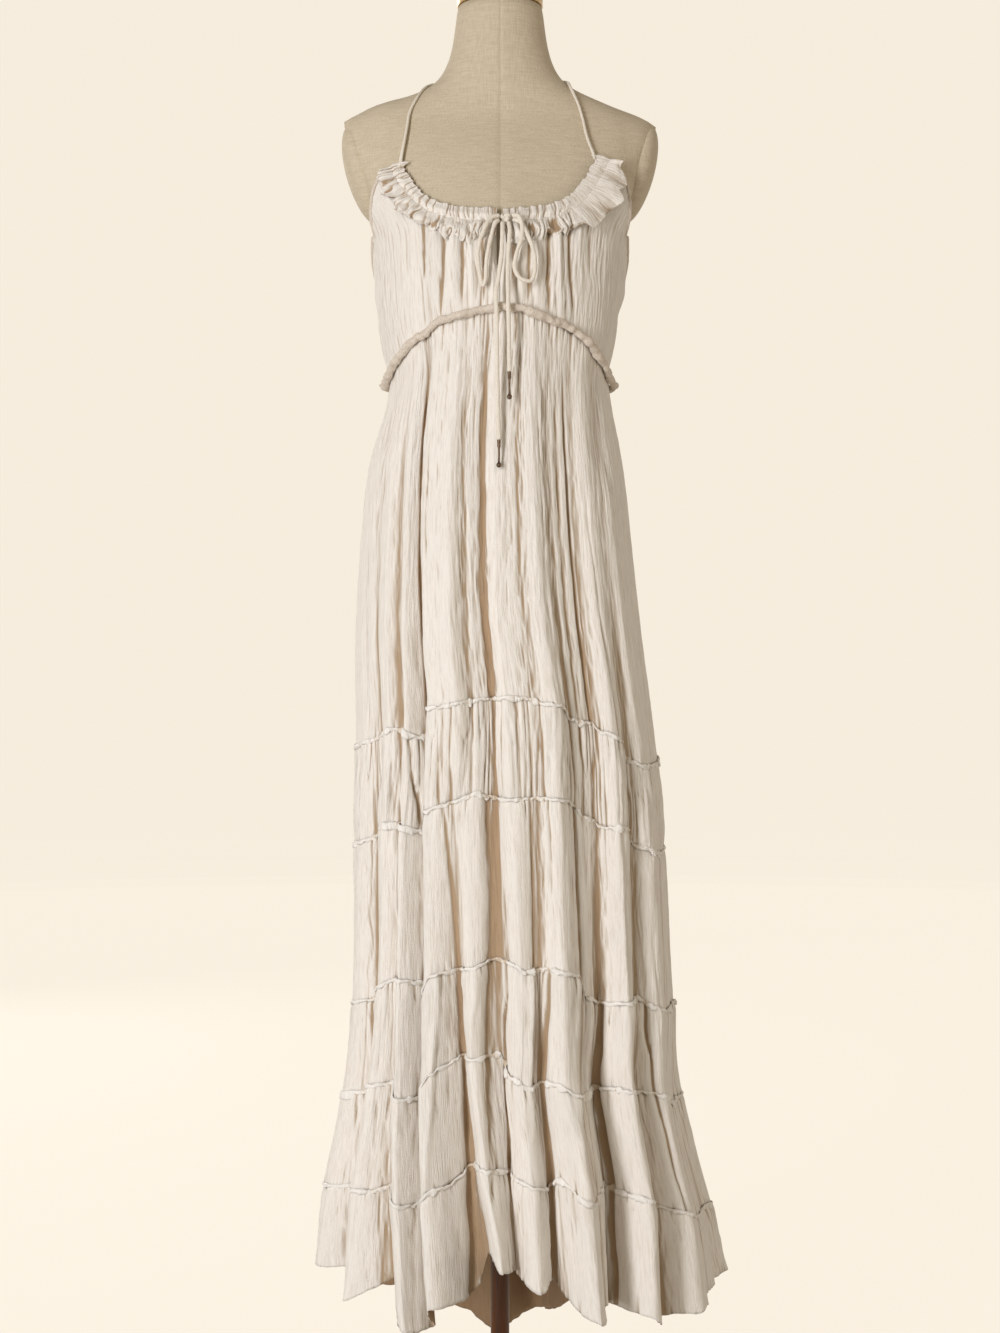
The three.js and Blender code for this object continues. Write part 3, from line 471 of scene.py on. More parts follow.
def crease_depth(half, step, turn, across):
    """Troughs and ridges pressed into the cloth, in millimetres outward."""
    depth = np.zeros_like(turn)
    for k, (start, end, first, last, width, deep) in enumerate(CREASES[half]):
        if start >= LOWER_TIERS:
            width, deep = LOWER_CREASE_WIDTH * width, LOWER_CREASE_DEPTH * deep
        t = np.clip((step - start) / (end - start), 0, 1)
        line = mix(first, last, t) + 0.35 * ripples(step, k, 0.35, 1, 35)
        centre = np.array([np.interp(line[i, 0], turn[i], across[i]) for i in range(len(turn))])[:, None]
        apart = np.abs(across - centre) / width
        shape = np.where(apart < 1, (1 - apart) ** 2 * (1 + apart), 0)
        seam_start, seam_end = start == round(start), end == round(end)
        fade = ramp(step, start - (0.01 if seam_start else 0), start + (0.012 if seam_start else 0.45))
        fade = fade * (1 - ramp(step, end - (0.01 if seam_end else 0.5), end + 0.012))
        depth -= deep * shape * fade * (0.8 + 0.3 * ripples(step, 3 * k, 0.3, 1, 36))
    return depth


def fold_rows(half, steps, columns, gap=0.07):
    """Turn and lift on a grid: a row for each step, and columns spread evenly over the fold lines, with a
    small gap in degrees at the side seams."""
    table = np.asarray(FOLDS[half], float)
    turns = np.array([along(FOLD_STOPS, line[:4], steps) for line in table])
    lifts = np.array([along(FOLD_STOPS, line[4:], steps) for line in table])
    lifts = lifts * (1 + DEEPER_FOLDS * ramp(steps, DEEPER_FROM, DEEPER_TO))
    u = np.linspace(0, len(table) - 1, columns)
    i = np.minimum(u.astype(int), len(table) - 2)
    t = (u - i)[:, None]
    turn = np.clip(mix(turns[i], turns[i + 1], t).T, table[0, 0] + gap, table[-1, 0] - gap)
    return turn, mix(lifts[i], lifts[i + 1], eased(t)).T


def outward(grid):
    """Unit directions out of a grid whose rows run down and columns to the right."""
    down = np.gradient(grid, axis=0)
    across = np.gradient(grid, axis=1)
    out = np.cross(down, across)
    return out / np.maximum(np.linalg.norm(out, axis=-1, keepdims=True), 1e-9)


def run_lengths(points):
    """Distances along rows of points, from 0 at the first row."""
    steps = np.linalg.norm(np.diff(points, axis=0), axis=-1)
    return np.concatenate([np.zeros_like(steps[:1]), np.cumsum(steps, 0)])


def surface_lengths(grid):
    """Distances across a grid, measured along its middle row, and down each of its columns."""
    return np.broadcast_to(run_lengths(grid[len(grid) // 2]), grid.shape[:2]), run_lengths(grid)


def raised(grid, relief, across, margin):
    """The grid with a relief added outwards, which fades to nothing at the side seams."""
    inset = ramp(across, 0, margin) * ramp(across[:, -1:] - across, 0, margin)
    return grid + outward(grid) * (relief * inset)[..., None]


# ---------------------------------------------------------------- meshes
def cloth_mesh(name, grid, material, thickness=0.8, inner_face_shade=1.0):
    """A thin shell on a grid in millimetres, with UVs in metres along the cloth. Its outer face gets painted
    shade by its own hollows, and its inner face an even painted shade set by one number given for it."""
    rows, columns = grid.shape[:2]
    inner = grid - outward(grid) * thickness
    points = np.concatenate([grid.reshape(-1, 3), inner.reshape(-1, 3)]) * MM
    index = np.arange(rows * columns).reshape(rows, columns)
    under = index + rows * columns

    def quads(a, b, c, d):
        return np.stack([a.ravel(), b.ravel(), c.ravel(), d.ravel()], -1)

    faces = [
        quads(index[:-1, :-1], index[1:, :-1], index[1:, 1:], index[:-1, 1:]),
        quads(under[:-1, :-1], under[:-1, 1:], under[1:, 1:], under[1:, :-1]),
        quads(index[0, :-1], index[0, 1:], under[0, 1:], under[0, :-1]),
        quads(index[-1, 1:], index[-1, :-1], under[-1, :-1], under[-1, 1:]),
        quads(index[1:, 0], index[:-1, 0], under[:-1, 0], under[1:, 0]),
        quads(index[:-1, -1], index[1:, -1], under[1:, -1], under[:-1, -1]),
    ]
    across, down = surface_lengths(grid)
    flat = np.stack([across, down], -1).reshape(-1, 2) * MM
    piece = new_mesh(name, points, np.concatenate(faces), material, np.concatenate([flat, flat]))
    # Painted shade: the outer face by its hollows, the inner face by one even amount.
    shaded = painted_shade_mask(grid).ravel()
    store(piece, np.concatenate([shaded, np.full_like(shaded, inner_face_shade)]))
    return piece


def blurred(grid, reach):
    """A grid averaged over columns within reach on each side."""
    padded = np.concatenate([np.repeat(grid[:, :1], reach, 1), grid, np.repeat(grid[:, -1:], reach, 1)], 1)
    total = np.cumsum(np.concatenate([np.zeros_like(padded[:, :1]), padded], 1), 1)
    window = 2 * reach + 1
    return (total[:, window:] - total[:, :-window]) / window


# Painted fold shade comes from hollows, looked for at three sizes: the reach to each side and the depth that
# counts as full.
HOLLOW_SIZES = ((3.0, 3.0), (9.0, 5.5), (26.0, 13.0))
# Even cloth gets this baseline of painted shade, and no hollow gets more than the deepest value.
EVEN_CLOTH, DEEPEST_HOLLOW = 0.34, 0.88


def painted_shade_mask(grid):
    """How much shade to paint on a grid: from 0 on the crests to 1 in the troughs of its folds."""
    pitch = np.linalg.norm(np.diff(grid[len(grid) // 2], axis=0), axis=1).mean()
    out = outward(grid)
    total = np.full(grid.shape[:2], EVEN_CLOTH)
    for width, depth in HOLLOW_SIZES:
        reach = max(1, int(width / pitch))
        total += ((blurred(grid, reach) - grid) * out).sum(-1) / depth
    return np.clip(total, 0, DEEPEST_HOLLOW)


def store(piece, values):
    """Keeps one number for each point: the amount of painted shade in the cloth's colour."""
    layer = piece.data.attributes.new("painted_fold_shade", "FLOAT", "POINT")
    layer.data.foreach_set("value", np.asarray(values, np.float32))


def new_mesh(name, points, faces, material, flat=None):
    """An object from points and from faces that all have the same number of corners."""
    mesh = bpy.data.meshes.new(name)
    mesh.vertices.add(len(points))
    mesh.vertices.foreach_set("co", np.asarray(points, float).ravel())
    mesh.loops.add(faces.size)
    mesh.loops.foreach_set("vertex_index", faces.ravel().astype(np.int32))
    mesh.polygons.add(len(faces))
    mesh.polygons.foreach_set("loop_start", np.arange(0, faces.size, faces.shape[1], dtype=np.int32))
    mesh.update(calc_edges=True)
    mesh.polygons.foreach_set("use_smooth", np.ones(len(faces), bool))
    if flat is not None:
        layer = mesh.uv_layers.new(name="cloth")
        layer.data.foreach_set("uv", flat[faces.ravel()].ravel())
    mesh.validate()
    mesh.materials.append(material)
    piece = bpy.data.objects.new(name, mesh)
    bpy.context.scene.collection.objects.link(piece)
    return piece


def smooth_route(places, count):
    """Evenly spaced points on a smooth curve through places."""
    places = np.asarray(places, float)
    chord = run_lengths(places)
    fine = np.linspace(0, chord[-1], 600)
    curve = np.stack([along(chord, places[:, k], fine) for k in range(3)], -1)
    length = run_lengths(curve)
    even = np.linspace(0, length[-1], count)
    return np.stack([np.interp(even, length, curve[:, k]) for k in range(3)], -1)


def tube_grid(route, radii, sides, flatten=1.0):
    """Rings round a route. radii is one for each ring, or a grid of ring by side."""
    direction = np.gradient(route, axis=0)
    direction /= np.linalg.norm(direction, axis=1, keepdims=True)
    across = np.array([0.0, 0, 1])
    if abs(direction[0] @ across) > 0.8:
        across = np.array([1.0, 0, 0])
    angle = np.linspace(0, 2 * np.pi, sides, endpoint=False)
    rings = []
    for i, centre in enumerate(route):
        across = across - direction[i] * (across @ direction[i])
        across /= np.linalg.norm(across)
        beside = np.cross(direction[i], across)
        size = np.broadcast_to(radii[i], sides)[:, None]
        round_it = np.cos(angle)[:, None] * across + flatten * np.sin(angle)[:, None] * beside
        rings.append(centre + size * round_it)
    return np.array(rings)


def tube_mesh(name, rings, material, closed=False):
    """A closed skin over rings, with rounded ends, or joined end to end."""
    count, sides = rings.shape[:2]
    points = rings.reshape(-1, 3)
    index = np.arange(count * sides).reshape(count, sides)
    near = index if not closed else np.concatenate([index, index[:1]])
    a, b = near[:-1], near[1:]
    faces = np.stack([a, np.roll(a, -1, 1), np.roll(b, -1, 1), b], -1).reshape(-1, 4)
    if not closed:
        tips = np.array([rings[0].mean(0), rings[-1].mean(0)])
        low, high = len(points), len(points) + 1
        points = np.concatenate([points, tips])
        first, last = index[0], index[-1]
        start = np.stack([np.roll(first, -1), first, np.full(sides, low), np.full(sides, low)], -1)
        end = np.stack([last, np.roll(last, -1), np.full(sides, high), np.full(sides, high)], -1)
        triangles = np.concatenate([start, end])[:, :3]
        return mixed_mesh(name, points * MM, faces, triangles, material)
    return new_mesh(name, points * MM, faces, material)


def mixed_mesh(name, points, quads, triangles, material):
    """An object from points, quads and triangles."""
    mesh = bpy.data.meshes.new(name)
    mesh.from_pydata(points.tolist(), [], quads.tolist() + triangles.tolist())
    mesh.polygons.foreach_set("use_smooth", np.ones(len(mesh.polygons), bool))
    mesh.materials.append(material)
    piece = bpy.data.objects.new(name, mesh)
    bpy.context.scene.collection.objects.link(piece)
    return piece


def stands_for(piece, slot, *nodes):
    """The piece rides on the one body and takes the place of CAD nodes."""
    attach(piece, "root")
    if nodes:
        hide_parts(*nodes)
    return piece


def pick(piece):
    """Selects one piece and nothing else."""
    bpy.ops.object.select_all(action="DESELECT")
    piece.select_set(True)
    bpy.context.view_layer.objects.active = piece


def joined(name, parts):
    """One object made of several."""
    pick(parts[0])
    for part in parts[1:]:
        part.select_set(True)
    bpy.ops.object.join()
    parts[0].name = name
    parts[0].data.name = name
    parts[0].select_set(False)
    return parts[0]


def box_mm(node):
    """A CAD node's lowest and highest corners, in millimetres."""
    low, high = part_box(node)
    return np.array(low) / MM, np.array(high) / MM


# ---------------------------------------------------------------- materials
def new_material(name, colour, roughness):
    """A material with its plain colour and roughness set, its node tree and its shader."""
    material = bpy.data.materials.new(name)
    material.use_nodes = True
    shader = material.node_tree.nodes["Principled BSDF"]
    shader.inputs["Base Color"].default_value = (*colour, 1)
    shader.inputs["Roughness"].default_value = roughness
    return material, material.node_tree, shader


def add_node(tree, kind, **values):
    """A shader node, with its inputs or settings given by name."""
    node = tree.nodes.new(kind)
    for key, value in values.items():
        if key in node.inputs:
            node.inputs[key].default_value = value
        else:
            setattr(node, key, value)
    return node


def stretched_noise(tree, source, scale, detail=2.0, roughness=0.5):
    """Noise stretched by a different scale on each axis of a coordinate."""
    mapping = add_node(tree, "ShaderNodeMapping")
    mapping.inputs["Scale"].default_value = scale
    tree.links.new(source, mapping.inputs["Vector"])
    noise = add_node(tree, "ShaderNodeTexNoise", Scale=1.0, Detail=detail, Roughness=roughness)
    tree.links.new(mapping.outputs["Vector"], noise.inputs["Vector"])
    return noise.outputs["Fac"]


def tinted(tree, factor, dark, light, low=0.3, high=0.7):
    """A colour from dark to light, as a factor goes from low to high."""
    colours = add_node(tree, "ShaderNodeValToRGB")
    colours.color_ramp.elements[0].position = low
    colours.color_ramp.elements[0].color = (*dark, 1)
    colours.color_ramp.elements[1].position = high
    colours.color_ramp.elements[1].color = (*light, 1)
    tree.links.new(factor, colours.inputs["Fac"])
    return colours.outputs["Color"]


def added(tree, first, second, weight):
    """The first height with a share of the second added to it."""
    node = add_node(tree, "ShaderNodeMath", operation="MULTIPLY_ADD")
    node.inputs[1].default_value = weight
    tree.links.new(second, node.inputs[0])
    tree.links.new(first, node.inputs[2])
    return node.outputs[0]


def bump(tree, shader, height, distance, strength=1.0):
    """Raises the surface by a height, over a distance in metres."""
    node = add_node(tree, "ShaderNodeBump", Strength=strength, Distance=distance)
    tree.links.new(height, node.inputs["Height"])
    tree.links.new(node.outputs["Normal"], shader.inputs["Normal"])


# The fold and inside colours are painted shade: the first in the troughs of the folds, the second in the
# deepest of them and on the cloth's inner face.
def crinkled_gauze(name, light=(0.92, 0.885, 0.835), dark=(0.79, 0.735, 0.66), fold=(0.50, 0.40, 0.30),
                   inside=(0.50, 0.345, 0.21)):
    """Soft cotton gauze: fine uneven crinkles down the cloth with painted shade in their low places, thread
    slubs across it, and painted warm shade in its folds and on its inner face.
    """
    material, tree, shader = new_material(name, light, 0.92)
    flat = add_node(tree, "ShaderNodeUVMap", uv_map="cloth").outputs["UV"]
    crinkle = stretched_noise(tree, flat, (430, 30, 1), 3.0, 0.62)
    fine = stretched_noise(tree, flat, (1300, 110, 1), 2.0, 0.6)
    slub = stretched_noise(tree, flat, (150, 900, 1), 1.0, 0.5)
    height = added(tree, added(tree, crinkle, fine, 0.5), slub, 0.2)
    bump(tree, shader, height, 0.0018, 0.8)
    # Painted shade: the crinkles' low places are tinted the darker colour.
    surface = tinted(tree, crinkle, dark, light, 0.25, 0.52)
    # Painted shade: white on the crests, the fold colour in the troughs and the inside colour on the inner
    # face, multiplied into the cloth's colour.
    painted_fold_shade = add_node(tree, "ShaderNodeAttribute", attribute_name="painted_fold_shade").outputs["Fac"]
    painted_shade_ramp = add_node(tree, "ShaderNodeValToRGB")
    stops = painted_shade_ramp.color_ramp.elements
    stops[0].position, stops[0].color = 0.33, (1, 1, 1, 1)
    stops[1].position, stops[1].color = 0.74, (*fold, 1)
    last = stops.new(1.0)
    last.color = (*inside, 1)
    tree.links.new(painted_fold_shade, painted_shade_ramp.inputs["Fac"])
    blend = add_node(tree, "ShaderNodeMix", data_type="RGBA", blend_type="MULTIPLY")
    blend.inputs["Factor"].default_value = 1.0
    colour_a, colour_b, colour_out = blend.inputs[6], blend.inputs[7], blend.outputs[2]
    tree.links.new(surface, colour_a)
    tree.links.new(painted_shade_ramp.outputs["Color"], colour_b)
    tree.links.new(colour_out, shader.inputs["Base Color"])
    shader.inputs["Sheen Weight"].default_value = 0.12
    shader.inputs["Sheen Roughness"].default_value = 0.6
    shader.inputs["Specular IOR Level"].default_value = 0.15
    return material


def rolled_gauze(name, light=(0.80, 0.735, 0.66), dark=(0.60, 0.51, 0.415), grain=700):
    """The same cloth rolled into narrow tubes, creased at random, with painted shade in the creases' low
    places.
    Its default colours are darker than the flat gauze: painted shade on the rolls.
    """
    material, tree, shader = new_material(name, light, 0.88)
    place = add_node(tree, "ShaderNodeTexCoord").outputs["Object"]
    creases = stretched_noise(tree, place, (grain, grain, grain * 0.6), 3.0, 0.6)
    bump(tree, shader, creases, 0.0009, 0.8)
    # Painted shade: the creases' low places take the darker colour.
    tree.links.new(tinted(tree, creases, dark, light), shader.inputs["Base Color"])
    shader.inputs["Sheen Weight"].default_value = 0.12
    shader.inputs["Specular IOR Level"].default_value = 0.2
    return material


def linen_cover():
    """Plain beige linen, thick and thin threads both ways; the sewn seam down the middle is cut into the
    torso by centre_seam.
    """
    light, dark = (0.66, 0.58, 0.445), (0.53, 0.45, 0.325)
    material, tree, shader = new_material("linen_cover", light, 0.9)
    place = add_node(tree, "ShaderNodeTexCoord").outputs["Object"]
    upright = stretched_noise(tree, place, (900, 900, 55), 2.0, 0.6)
    level = stretched_noise(tree, place, (55, 55, 900), 2.0, 0.6)
    threads = added(tree, upright, level, 1.0)
    bump(tree, shader, threads, 0.0006, 0.7)
    halved = add_node(tree, "ShaderNodeMath", operation="MULTIPLY")
    halved.inputs[1].default_value = 0.5
    tree.links.new(threads, halved.inputs[0])
    tree.links.new(tinted(tree, halved.outputs[0], dark, light, 0.34, 0.62), shader.inputs["Base Color"])
    shader.inputs["Sheen Weight"].default_value = 0.1
    shader.inputs["Specular IOR Level"].default_value = 0.25
    return material


def varnished_wood():
    """Dark reddish wood with upright grain under a thin varnish."""
    light, dark = (0.17, 0.055, 0.010), (0.05, 0.013, 0.002)
    material, tree, shader = new_material("varnished_wood", light, 0.42)
    place = add_node(tree, "ShaderNodeTexCoord").outputs["Object"]
    grain = stretched_noise(tree, place, (160, 160, 7), 4.0, 0.65)
    bump(tree, shader, grain, 0.0005, 0.5)
    tree.links.new(tinted(tree, grain, dark, light, 0.35, 0.68), shader.inputs["Base Color"])
    shader.inputs["Specular IOR Level"].default_value = 0.25
    shader.inputs["Coat Weight"].default_value = 0.08
    shader.inputs["Coat Roughness"].default_value = 0.25
    return material


def aged_metal(name, light, dark, roughness):
    """Metal with a cloudy tarnish."""
    material, tree, shader = new_material(name, light, roughness)
    place = add_node(tree, "ShaderNodeTexCoord").outputs["Object"]
    tarnish = stretched_noise(tree, place, (180, 180, 180), 4.0, 0.6)
    tree.links.new(tinted(tree, tarnish, dark, light), shader.inputs["Base Color"])
    bump(tree, shader, tarnish, 0.0003, 0.4)
    shader.inputs["Metallic"].default_value = 1.0
    return material


# ---------------------------------------------------------------- the stand
def edit_whole(piece):
    """Opens a piece for editing with all of it selected."""
    pick(piece)
    bpy.ops.object.mode_set(mode="EDIT")
    bpy.ops.mesh.select_all(action="SELECT")


def leave_edit(piece):
    """Closes a piece again and leaves it unselected."""
    bpy.ops.object.mode_set(mode="OBJECT")
    piece.select_set(False)


def turned(name, centre, profile, segments, material, bevel=0.0):
    """A round piece: a disc extruded upwards and resized at each row of radius and height, in millimetres."""
    x, y = centre[0] * MM, centre[1] * MM
    radius, height = profile[0]
    bpy.ops.mesh.primitive_circle_add(vertices=segments, radius=radius * MM, fill_type="NGON",
                                      location=(x, y, height * MM))
    piece = bpy.context.object
    piece.name = name
    bpy.ops.object.transform_apply(location=True, rotation=False, scale=False)
    edit_whole(piece)
    for next_radius, next_height in profile[1:]:
        rise = (next_height - height) * MM
        bpy.ops.mesh.extrude_region_move(TRANSFORM_OT_translate={"value": (0, 0, rise)})
        size = next_radius / radius
        bpy.ops.transform.resize(value=(size, size, 1), center_override=(x, y, next_height * MM))
        radius, height = next_radius, next_height
    bpy.ops.mesh.select_all(action="SELECT")
    bpy.ops.mesh.normals_make_consistent(inside=False)
    leave_edit(piece)
    if bevel:
        finish_edges(piece, bevel)
    piece.select_set(True)
    bpy.ops.object.shade_smooth_by_angle(angle=math.radians(32))
    piece.select_set(False)
    piece.data.materials.append(material)
    return piece


def finish_edges(piece, width):
    """Rounds a piece's sharp edges, by a width in millimetres."""
    modifier = piece.modifiers.new("soft_edges", "BEVEL")
    modifier.width = width * MM
    modifier.segments = 3
    modifier.limit_method = "ANGLE"
    modifier.angle_limit = math.radians(40)
    apply_modifier(piece, modifier)


def apply_modifier(piece, modifier):
    """Makes a modifier's result the piece's own mesh."""
    pick(piece)
    bpy.ops.object.modifier_apply(modifier=modifier.name)
    piece.select_set(False)


def copy_of_node(node, name):
    """A merged copy of a CAD node, with quads where its triangles pair up."""
    piece = NODES[node].copy()
    piece.data = NODES[node].data.copy()
    piece.name = name
    piece.parent = None
    for key in list(piece.keys()):
        del piece[key]
    bpy.context.scene.collection.objects.link(piece)
    edit_whole(piece)
    bpy.ops.mesh.remove_doubles(threshold=0.00005)
    bpy.ops.mesh.tris_convert_to_quads(face_threshold=math.radians(60), shape_threshold=math.radians(60))
    leave_edit(piece)
    piece.data.materials.clear()
    return piece


def sharpen(piece, angle):
    """Creases the edges that turn by more than an angle, so that subdivision keeps them."""
    edit_whole(piece)
    bpy.ops.mesh.select_mode(type="EDGE")
    bpy.ops.mesh.select_all(action="DESELECT")
    bpy.ops.mesh.edges_select_sharp(sharpness=math.radians(angle))
    bpy.ops.transform.edge_crease(value=0.9)
    bpy.ops.mesh.select_mode(type="VERT")
    leave_edit(piece)


def subdivide(piece, levels):
    """Smooths a piece by subdivision."""
    modifier = piece.modifiers.new("smooth_skin", "SUBSURF")
    modifier.levels = levels
    modifier.render_levels = levels
    apply_modifier(piece, modifier)
    piece.data.polygons.foreach_set("use_smooth", np.ones(len(piece.data.polygons), bool))


def centre_seam(piece):
    """A sewn groove down the middle of the torso, front and back."""
    half_width, depth, foot, top = 0.0016, 0.0009, 0.87, 1.655
    for x in (-half_width, 0.0, half_width):
        edit_whole(piece)
        bpy.ops.mesh.bisect(plane_co=(x, 0, 1), plane_no=(1, 0, 0))
        leave_edit(piece)
    for vertex in piece.data.vertices:
        vertex.select = abs(vertex.co.x) < half_width / 2 and foot < vertex.co.z < top
    pick(piece)
    bpy.ops.object.mode_set(mode="EDIT")
    bpy.ops.transform.shrink_fatten(value=-depth)
    leave_edit(piece)


def shoulder_shift(points):
    """Rounds the shoulders up, the left one more, and out to the rims of the arm plates, in millimetres."""
    x, z = np.abs(points[:, 0]), points[:, 2]
    left = points[:, 0] < 0
    left_rise = 8.5 + 2.0 * ramp(x, 100, 130) * ramp(-x, -165, -140)
    right_rise = 3.5 - 4.0 * ramp(x, 165, 190)
    full_at = np.where(left, 150, 120)
    up = np.where(left, left_rise, right_rise) * ramp(x, 60, full_at) * ramp(z, 1488, 1528)
    widening = 4.5 - 9.5 * ramp(-points[:, 1], 0, 42)
    out = widening * ramp(x, 130, 158) * ramp(z, 1392, 1430)
    return np.stack([np.sign(points[:, 0]) * out, 0 * out, up], 1)


# The padded ovals that close the armholes: half their thickness and height, and where their centres are.
PLATE_HALF_THICKNESS, PLATE_HALF_HEIGHT = 0.020, 0.060
PLATE_CENTRE_X, PLATE_CENTRE_Z = 0.1615, 1.464


def make_arm_plate(side, name, linen):
    """A shallow padded oval that closes the armhole, leaning in towards its foot."""
    low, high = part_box(f"form_arm_plate_{name}")
    middle_y, half_depth = (low[1] + high[1]) / 2, (high[1] - low[1]) / 2
    bpy.ops.mesh.primitive_uv_sphere_add(segments=64, ring_count=32, radius=1, location=(0, 0, 0))
    plate = bpy.context.object
    plate.name = f"arm_plate_{name}"
    edit_whole(plate)
    bpy.ops.transform.resize(value=(PLATE_HALF_THICKNESS, half_depth * 0.98, PLATE_HALF_HEIGHT))
    lean = side * math.atan(ARM_PLATE_LEAN)
    bpy.ops.transform.rotate(value=-lean, orient_axis="Y", center_override=(0, 0, 0))
    bpy.ops.transform.translate(value=(side * PLATE_CENTRE_X, middle_y, PLATE_CENTRE_Z))
    leave_edit(plate)
    plate.data.polygons.foreach_set("use_smooth", np.ones(len(plate.data.polygons), bool))
    plate.data.materials.append(linen)
    stands_for(plate, "linen", f"form_arm_plate_{name}")


def make_form(linen, brass):
    """The linen torso, its arm plates and the cap on its neck."""
    torso = copy_of_node("form_torso", "torso")
    sharpen(torso, 70)
    subdivide(torso, 2)
    points = np.empty(len(torso.data.vertices) * 3)
    torso.data.vertices.foreach_get("co", points)
    points = points.reshape(-1, 3)
    points += shoulder_shift(points / MM) * MM
    torso.data.vertices.foreach_set("co", points.ravel())
    centre_seam(torso)
    torso.data.materials.append(linen)
    stands_for(torso, "linen", "form_torso")
    for side, name in SIDES:
        make_arm_plate(side, name, linen)
    low, high = box_mm("form_neck_cap")
    foot, top, radius = low[2], high[2], (high[0] - low[0]) / 2
    profile = [(radius, foot), (radius, foot + 3), (radius - 1.4, foot + 4), (radius - 1.4, foot + 5),
               (radius, foot + 6), (radius, foot + 11), (radius * 0.93, foot + 14.5),
               (radius * 0.8, foot + 20), (radius * 0.55, top - 3.5), (radius * 0.25, top - 0.8),
               (radius * 0.05, top)]
    cap = turned("neck_cap", (0, 0), profile, 64, brass, 0.5)
    stands_for(cap, "brass", "form_neck_cap")


def make_stand(wood, brass):
    """The round base, the collar and the pole."""
    low, high = box_mm("stand_base")
    radius, top = high[0], high[2]
    profile = [(radius - 2, 0), (radius, 2), (radius, top * 0.5), (radius - 3, top * 0.62),
               (radius - 5, top * 0.66), (radius - 8, top * 0.86), (radius - 14, top), (30, top)]
    base = turned("base", (0, 0), profile, 96, wood, 0.8)
    stands_for(base, "wood", "stand_base")
    low, high = box_mm("stand_collar")
    foot, top, radius = low[2], high[2], high[0]
    profile = [(radius, foot), (radius, foot + 4), (radius * 0.92, foot + 6), (radius * 0.8, foot + 12),
               (radius * 0.72, top - 4), (radius * 0.76, top - 3), (radius * 0.76, top)]
    collar = turned("collar", (0, 0), profile, 48, brass, 0.5)
    stands_for(collar, "brass", "stand_collar")
    low, high = box_mm("stand_pole")
    foot, top, radius = low[2], high[2], high[0]
    profile = [(radius * 0.9, foot), (radius, foot + 1.5), (radius, mix(foot, top, 0.5)),
               (radius, top - 1.5), (radius * 0.9, top)]
    pole = turned("pole", (0, 0), profile, 40, wood)
    stands_for(pole, "wood", "stand_pole")


# ---------------------------------------------------------------- the cloth
CRINKLE = 0.55


def crinkle(across, down, seed):
    """The crepe's own fine crinkles, in millimetres."""
    drift = 3 * ripples(across, down, 25, 40, seed + 5)
    coarse = pleats(across + drift, down, 3.8, 30, seed)
    fine = ripples(across + drift, down, 2.6, 22, seed + 1)
    patches = 0.7 + 0.45 * ripples(across, down, 30, 90, seed + 6)
    return CRINKLE * (coarse * patches + 0.6 * fine)


def puffs(across, down, width, length, seed):
    """Round swellings with sharp valleys between them, from -1 to 1."""
    return 2 * np.abs(ripples(across, down, width, length, seed)) ** 0.55 - 1


# Name, from step, to step, then in front and behind: rows, columns and the cut in metres, width by length.
SKIRT_PIECES = [
    ("skirt_upper", 0, 3, {"front": (76, 430, (0.58, 0.47)), "back": (56, 230, (0.52, 0.50))}),
    ("skirt_band", 3, 4, {"front": (26, 430, (0.80, 0.125)), "back": (16, 260, (0.68, 0.125))}),
    ("skirt_tier_three", 4, 5, {"front": (36, 400, (0.82, 0.20)), "back": (24, 240, (0.74, 0.20))}),
    ("skirt_tier_four", 5, 6, {"front": (24, 420, (0.86, 0.13)), "back": (16, 260, (0.80, 0.13))}),
    ("skirt_tier_five", 6, 7, {"front": (24, 420, (0.96, 0.14)), "back": (18, 260, (0.88, 0.14))}),
    ("skirt_tier_six", 7, 8, {"front": (32, 420, (1.04, 0.14)), "back": (24, 260, (0.96, 0.14))}),
]
# How far down each tier its gathers reach before they fade.
GATHERS_FADE = {"skirt_tier_three": 38, "skirt_tier_four": 40, "skirt_tier_five": 40, "skirt_tier_six": 34}


def surface_relief(name, turn, across, down, seed):
    """How far the cloth stands off its folds, in millimetres: gathers at the seams, ruches, crinkles."""
    length = down[-1:]
    to_foot = length - down
    relief = crinkle(across, down, seed)
    drift = 5 * ripples(across, down, 45, 110, seed + 9)
    tucked = 1.3 * puffs(across, down, 4.2, 40, seed + 6) * np.exp(-to_foot / 12)
    if name == "skirt_upper":
        middle = np.clip(1.2 - np.abs(turn) / 50, 0.12, 1)
        soft = pleats(across + drift, down, 10, 150, seed + 2)
        tight = pleats(across + 1.6 * drift, down, 3.6, 26, seed + 3)
        gathers = 1.5 * puffs(across + drift, down, 3.4, 60, seed + 7) * np.exp(-down / 30)
        return relief + middle * (0.3 * soft * ramp(down, -6, 50) + 0.75 * tight + gathers) + tucked
    if name == "skirt_band":
        ruche = puffs(across + drift, down, 5.0, 75, seed + 2) + 0.35 * puffs(across, down, 2.6, 45, seed + 3)
        puff = np.sqrt(np.clip(np.sin(np.pi * down / length), 0.03, 1))
        return relief + 1.7 * ruche * (0.6 + 0.4 * puff) + 2.0 * puff
    gathers = puffs(across + drift, down, 5.0, 60, seed + 2) + 0.4 * puffs(across, down, 2.8, 30, seed + 3)
    long_folds = pleats(across + drift, down, 15, 200, seed + 4)
    puff = 3.0 * (1 - np.exp(-down / 7)) * np.exp(-down / 55)
    gathers = gathers * np.exp(-down / GATHERS_FADE[name])
    return relief + puff + 1.35 * gathers + 0.7 * long_folds + tucked


def hem_waver(name, across, down):
    """The raw hem isn't cut quite level."""
    if name != "skirt_tier_six":
        return 0.0
    fray = 1.6 * ripples(across, 0, 26, 1, 71) + 0.9 * ripples(across, 0, 8, 1, 72)
    return fray * ramp(down / down[-1:], 0.4, 1)


